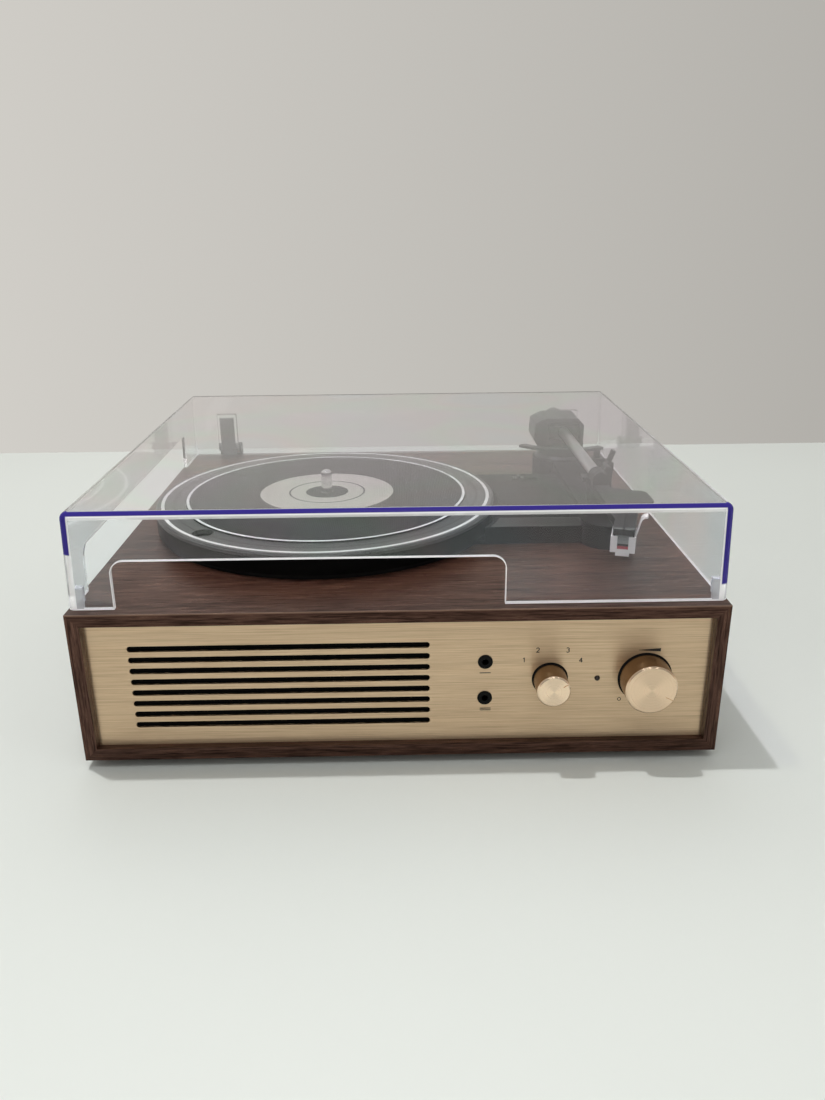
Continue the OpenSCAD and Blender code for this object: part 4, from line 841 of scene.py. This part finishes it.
# %% Panel marks
PANEL_FACE, INK_DEPTH = -0.1585, 0.00006
NUMERAL_PLACES = ((0.0669, 0.0607), (0.0742, 0.0665), (0.0904, 0.0663), (0.0978, 0.0601))
NUMERAL_HEIGHT, NUMERAL_STROKE = 0.0027, 0.00048
WEDGE_FROM, WEDGE_TO, WEDGE_HEIGHT, WEDGE_WIDTHS = 0.1288, 0.1408, 0.0656, (0.0002, 0.002)
OFF_PLACE, OFF_RADIUS, OFF_STROKE = (0.1202, 0.0358), 0.0009, 0.0004
BAR_PLACES, BAR_REACH, BAR_STROKE = ((0.046, 0.0533), (0.0464, 0.0314), (0.0464, 0.0303)), 0.003, 0.0005

ink = moulded("printing_ink", (0.012, 0.011, 0.01), 0.5, depth=0.05)
strokes = [ribbon(np.array(place) + NUMERAL_HEIGHT * np.asarray(path), NUMERAL_STROKE)
           for place, paths in zip(NUMERAL_PLACES, NUMERALS) for path in paths]
wedge = np.stack([np.linspace(WEDGE_FROM, WEDGE_TO, 9), np.full(9, WEDGE_HEIGHT)], 1)
strokes.append(ribbon(wedge, np.linspace(*WEDGE_WIDTHS, 9)))
strokes.append(ribbon(arc(*OFF_PLACE, OFF_RADIUS, 0, 360), OFF_STROKE))
for x, z in BAR_PLACES:
    strokes.append(ribbon([(x - BAR_REACH, z), (x + BAR_REACH, z)], BAR_STROKE))
flat = np.concatenate([stroke.reshape(-1, 2) for stroke in strokes])
starts = np.cumsum([0] + [2 * len(stroke) for stroke in strokes[:-1]])
faces = np.concatenate([start + grid_faces(len(stroke), 2, False, False)
                        for start, stroke in zip(starts, strokes)])
in_front = np.stack([flat[:, 0], np.full(len(flat), PANEL_FACE - INK_DEPTH), flat[:, 1]], 1)
add_piece("panel_marks", in_front, faces, "cabinet", ink, smooth=False)

# %% [markdown]
# ## Small turned pieces
#
# A turned piece is a profile that goes round an axis. A thin black ring lies round the base of each
# knob, a dark line where the knob meets the panel. The two line-out sockets at the rear have a red and
# a white insulator, as such sockets have so that left and right aren't mixed up.

# %% Base rings and insulators
SIDES = 64


def turned_piece(name, profile, x, z, finish):
    """Points (x + r cos a, y, z + r sin a) for each (r, y) of the profile and SIDES angles a."""
    angle = np.arange(SIDES) / SIDES * 2 * np.pi
    r, y = np.asarray(profile).T[:, :, None]
    points = np.stack(np.broadcast_arrays(x + r * np.cos(angle), y, z + r * np.sin(angle)), -1)
    faces = grid_faces(len(profile), SIDES, False, True)
    return add_piece(name, points, faces, "cabinet", finish)


BASE_RING_FACE = PANEL_FACE - 0.0003
for name, x, r in (("source_base_ring", SOURCE_X, 0.009), ("volume_base_ring", VOLUME_X, 0.014)):
    rim = [(r - 0.002, BASE_RING_FACE), (r + 0.0006, BASE_RING_FACE), (r + 0.0009, PANEL_FACE)]
    turned_piece(name, rim, x, CONTROL_HEIGHT, jack_black)

signal_red = moulded("signal_red", (0.45, 0.02, 0.02), 0.35, depth=0.05)
signal_white = moulded("signal_white", (0.7, 0.7, 0.68), 0.35, depth=0.05)
SOCKET_HEIGHT = 0.049
socket_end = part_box("line_out_sockets")[1].y
raised = socket_end + 0.0002
ring = [(0.0017, socket_end), (0.0019, raised), (0.0031, raised), (0.0034, socket_end)]
for name, x, finish in (("left_insulator", 0.072, signal_white), ("right_insulator", 0.09, signal_red)):
    turned_piece(name, ring, x, SOCKET_HEIGHT, finish)

# %% [markdown]
# ## Finger strip
#
# A curled strip of milky plastic stands at the right of the head shell; a finger lifts the arm by it.
# Its shape is a path seen from the front, given a thickness and a width along the shell. Each point of
# the path becomes four corners, and the corners of neighbouring points form the strip's sides.

# %% Finger strip
STRIP_BENDS = np.array([(5.6, 120.4), (6.2, 120.6), (6.95, 122.85), (7.57, 125.2), (8.17, 127.9),
                        (8.8, 130), (10, 131.2), (12.1, 131.7)]) / 1000
STRIP_THICKNESS, STRIP_BACK, STRIP_FRONT = 0.0009, -0.012, -0.005
STEPS = 40

across = np.array([np.cos(SHELL_TURN), -np.sin(SHELL_TURN)])
ahead = np.array([-np.sin(SHELL_TURN), -np.cos(SHELL_TURN)])
bend = np.arange(len(STRIP_BENDS))
fine = np.linspace(0, bend[-1], STEPS)
path = np.stack([np.interp(fine, bend, STRIP_BENDS[:, axis]) for axis in (0, 1)], 1)
path[1:-1] = (path[:-2] + 2 * path[1:-1] + path[2:]) / 4
edges = ribbon(path, STRIP_THICKNESS)
corners = np.stack([edges[:, 0], edges[:, 1], edges[:, 1], edges[:, 0]], 1)
reach = np.array([STRIP_BACK, STRIP_BACK, STRIP_FRONT, STRIP_FRONT])
flat = np.array(NOSE[:2]) + corners[:, :, :1] * across + (reach[:, None] * ahead)[None]
points = np.concatenate([flat, corners[:, :, 1:]], 2)
ends = [[3, 2, 1, 0], [4 * STEPS - 4 + i for i in range(4)]]
faces = np.concatenate([grid_faces(STEPS, 4, False, True), ends])
add_piece("finger_strip", points, faces, "arm", guard_clear, smooth=False)

# %% [markdown]
# ## Table, wall and light
#
# The player stands on a pale table in front of a light wall. Both are stage, not part of the
# object. The wall glows by itself, in a tone that only changes along X, so it stays even.

# %% Table and wall
TABLE_FRONT, TABLE_BACK, TABLE_SIDE = -3, 0.56, 4.0
WALL_Y, WALL_SIDE, WALL_LOW, WALL_HIGH, TONE_REACH = 2.4, 9, -3, 5, 1.4


def stage_sheet(name, corners, finish):
    """A flat sheet between four corners."""
    mesh = bpy.data.meshes.new(name)
    mesh.from_pydata(corners, [], [(0, 1, 2, 3)])
    mesh.materials.append(finish)
    sheet = bpy.data.objects.new(name, mesh)
    bpy.context.scene.collection.objects.link(sheet)


def table_paint(colour, roughness):
    """Pale paint with a faint change of tone from wide noise."""
    finish, tree, shader = new_finish("table_paint", roughness, colour=colour)
    shade = ramp(tree, plain_noise(tree, 2.0, 3), (0.3, 0.97), (0.7, 1.0))
    feed(tree, shader, "Base Color", blend(tree, 1.0, colour, shade, "MULTIPLY"))
    return finish


def wall_glow(left, right):
    """Light from the wall itself, in a tone that goes from left to right along X."""
    finish, tree, _ = new_finish("wall_paint")
    ends = {"Value": coordinates(tree)["X"], "From Min": -TONE_REACH, "From Max": TONE_REACH}
    share = add_node(tree, "ShaderNodeMapRange", ends).outputs[0]
    tone = blend(tree, share, left, right)
    glow = add_node(tree, "ShaderNodeEmission", {"Color": tone, "Strength": 1.0}).outputs[0]
    tree.links.new(glow, tree.nodes["Material Output"].inputs["Surface"])
    return finish


stage_sheet("table", [(-TABLE_SIDE, TABLE_FRONT, 0), (TABLE_SIDE, TABLE_FRONT, 0),
                      (TABLE_SIDE, TABLE_BACK, 0), (-TABLE_SIDE, TABLE_BACK, 0)],
            table_paint((0.815, 0.845, 0.805), 0.45))
stage_sheet("wall", [(-WALL_SIDE, WALL_Y, WALL_LOW), (WALL_SIDE, WALL_Y, WALL_LOW),
                     (WALL_SIDE, WALL_Y, WALL_HIGH), (-WALL_SIDE, WALL_Y, WALL_HIGH)],
            wall_glow((0.64, 0.62, 0.58), (0.45, 0.435, 0.405)))
print("table and wall set")

# %% [markdown]
# The room gives an even light: the world is brightest along the horizon. A small lamp almost overhead,
# a little to the left, draws the clear edge of the shadow on the right: a small lamp has sharp
# shadows, because the cabinet hides all of it or nothing. A spot brightens the near part of the table,
# and three little ceiling lamps leave their glints on the rims of the knobs. A wide, weak lamp behind
# lights the far part. It is hidden from reflections and from what is seen through clear plastic, so
# that its disc doesn't show in the lid.

# %% Lamps and room
PLAYER_MIDDLE, PANEL_RIGHT = (0, 0, 0.05), (0.1, -0.16, 0.05)
SMALL, WIDE = 0.07, 0.9


def hang(name, light, place):
    """Puts a light at its place in the scene."""
    holder = bpy.data.objects.new(name, light)
    holder.location = place
    bpy.context.scene.collection.objects.link(holder)
    return holder


def lamp(name, place, target, size, power):
    """A round area lamp that faces a target."""
    light = bpy.data.lights.new(name, "AREA")
    light.shape = "DISK"
    light.size = size
    light.energy = power
    holder = hang(name, light, place)
    holder.rotation_mode = "QUATERNION"
    holder.rotation_quaternion = (Vector(place) - Vector(target)).to_track_quat("Z", "Y")
    return holder


def near_spot(place, cone, power):
    """A soft spot that shines straight down on the table before the player."""
    light = bpy.data.lights.new("near_spot", "SPOT")
    light.spot_size = np.radians(cone)
    light.spot_blend = 0.35
    light.shadow_soft_size = 0.3
    light.energy = power
    hang("near_spot", light, place)


def pale_room():
    """World light by height: bright along the horizon, as a lit room's walls are, and dimmer above."""
    world = bpy.data.worlds.new("pale_room")
    bpy.context.scene.world = world
    world.use_nodes = True
    tree = world.node_tree
    way = add_node(tree, "ShaderNodeTexCoord").outputs["Generated"]
    height = add_node(tree, "ShaderNodeSeparateXYZ", {"Vector": way}).outputs["Z"]
    tint = ramp(tree, height, (0.0, (0.68, 0.63, 0.58)), (0.25, (0.38, 0.37, 0.36)),
                (0.6, (0.4, 0.41, 0.405)))
    tree.links.new(tint, tree.nodes["Background"].inputs["Color"])


rear_lamp = lamp("rear_lamp", (-0.1, 0.95, 1.65), PLAYER_MIDDLE, WIDE, 3)
rear_lamp.visible_glossy = rear_lamp.visible_transmission = False
lamp("left_lamp", (-0.55, 0.11, 2.2), PLAYER_MIDDLE, SMALL, 18)
near_spot((0.02, -0.75, 1.7), 39, 25)
for name, x in (("ceiling_left", -0.7), ("ceiling_middle", 0.28), ("ceiling_right", 1.26)):
    lamp(name, (x, -1.0, 2.3), PANEL_RIGHT, SMALL, 1.2)
pale_room()
bpy.context.scene.view_settings.view_transform = "Standard"
print("lamps and room set")
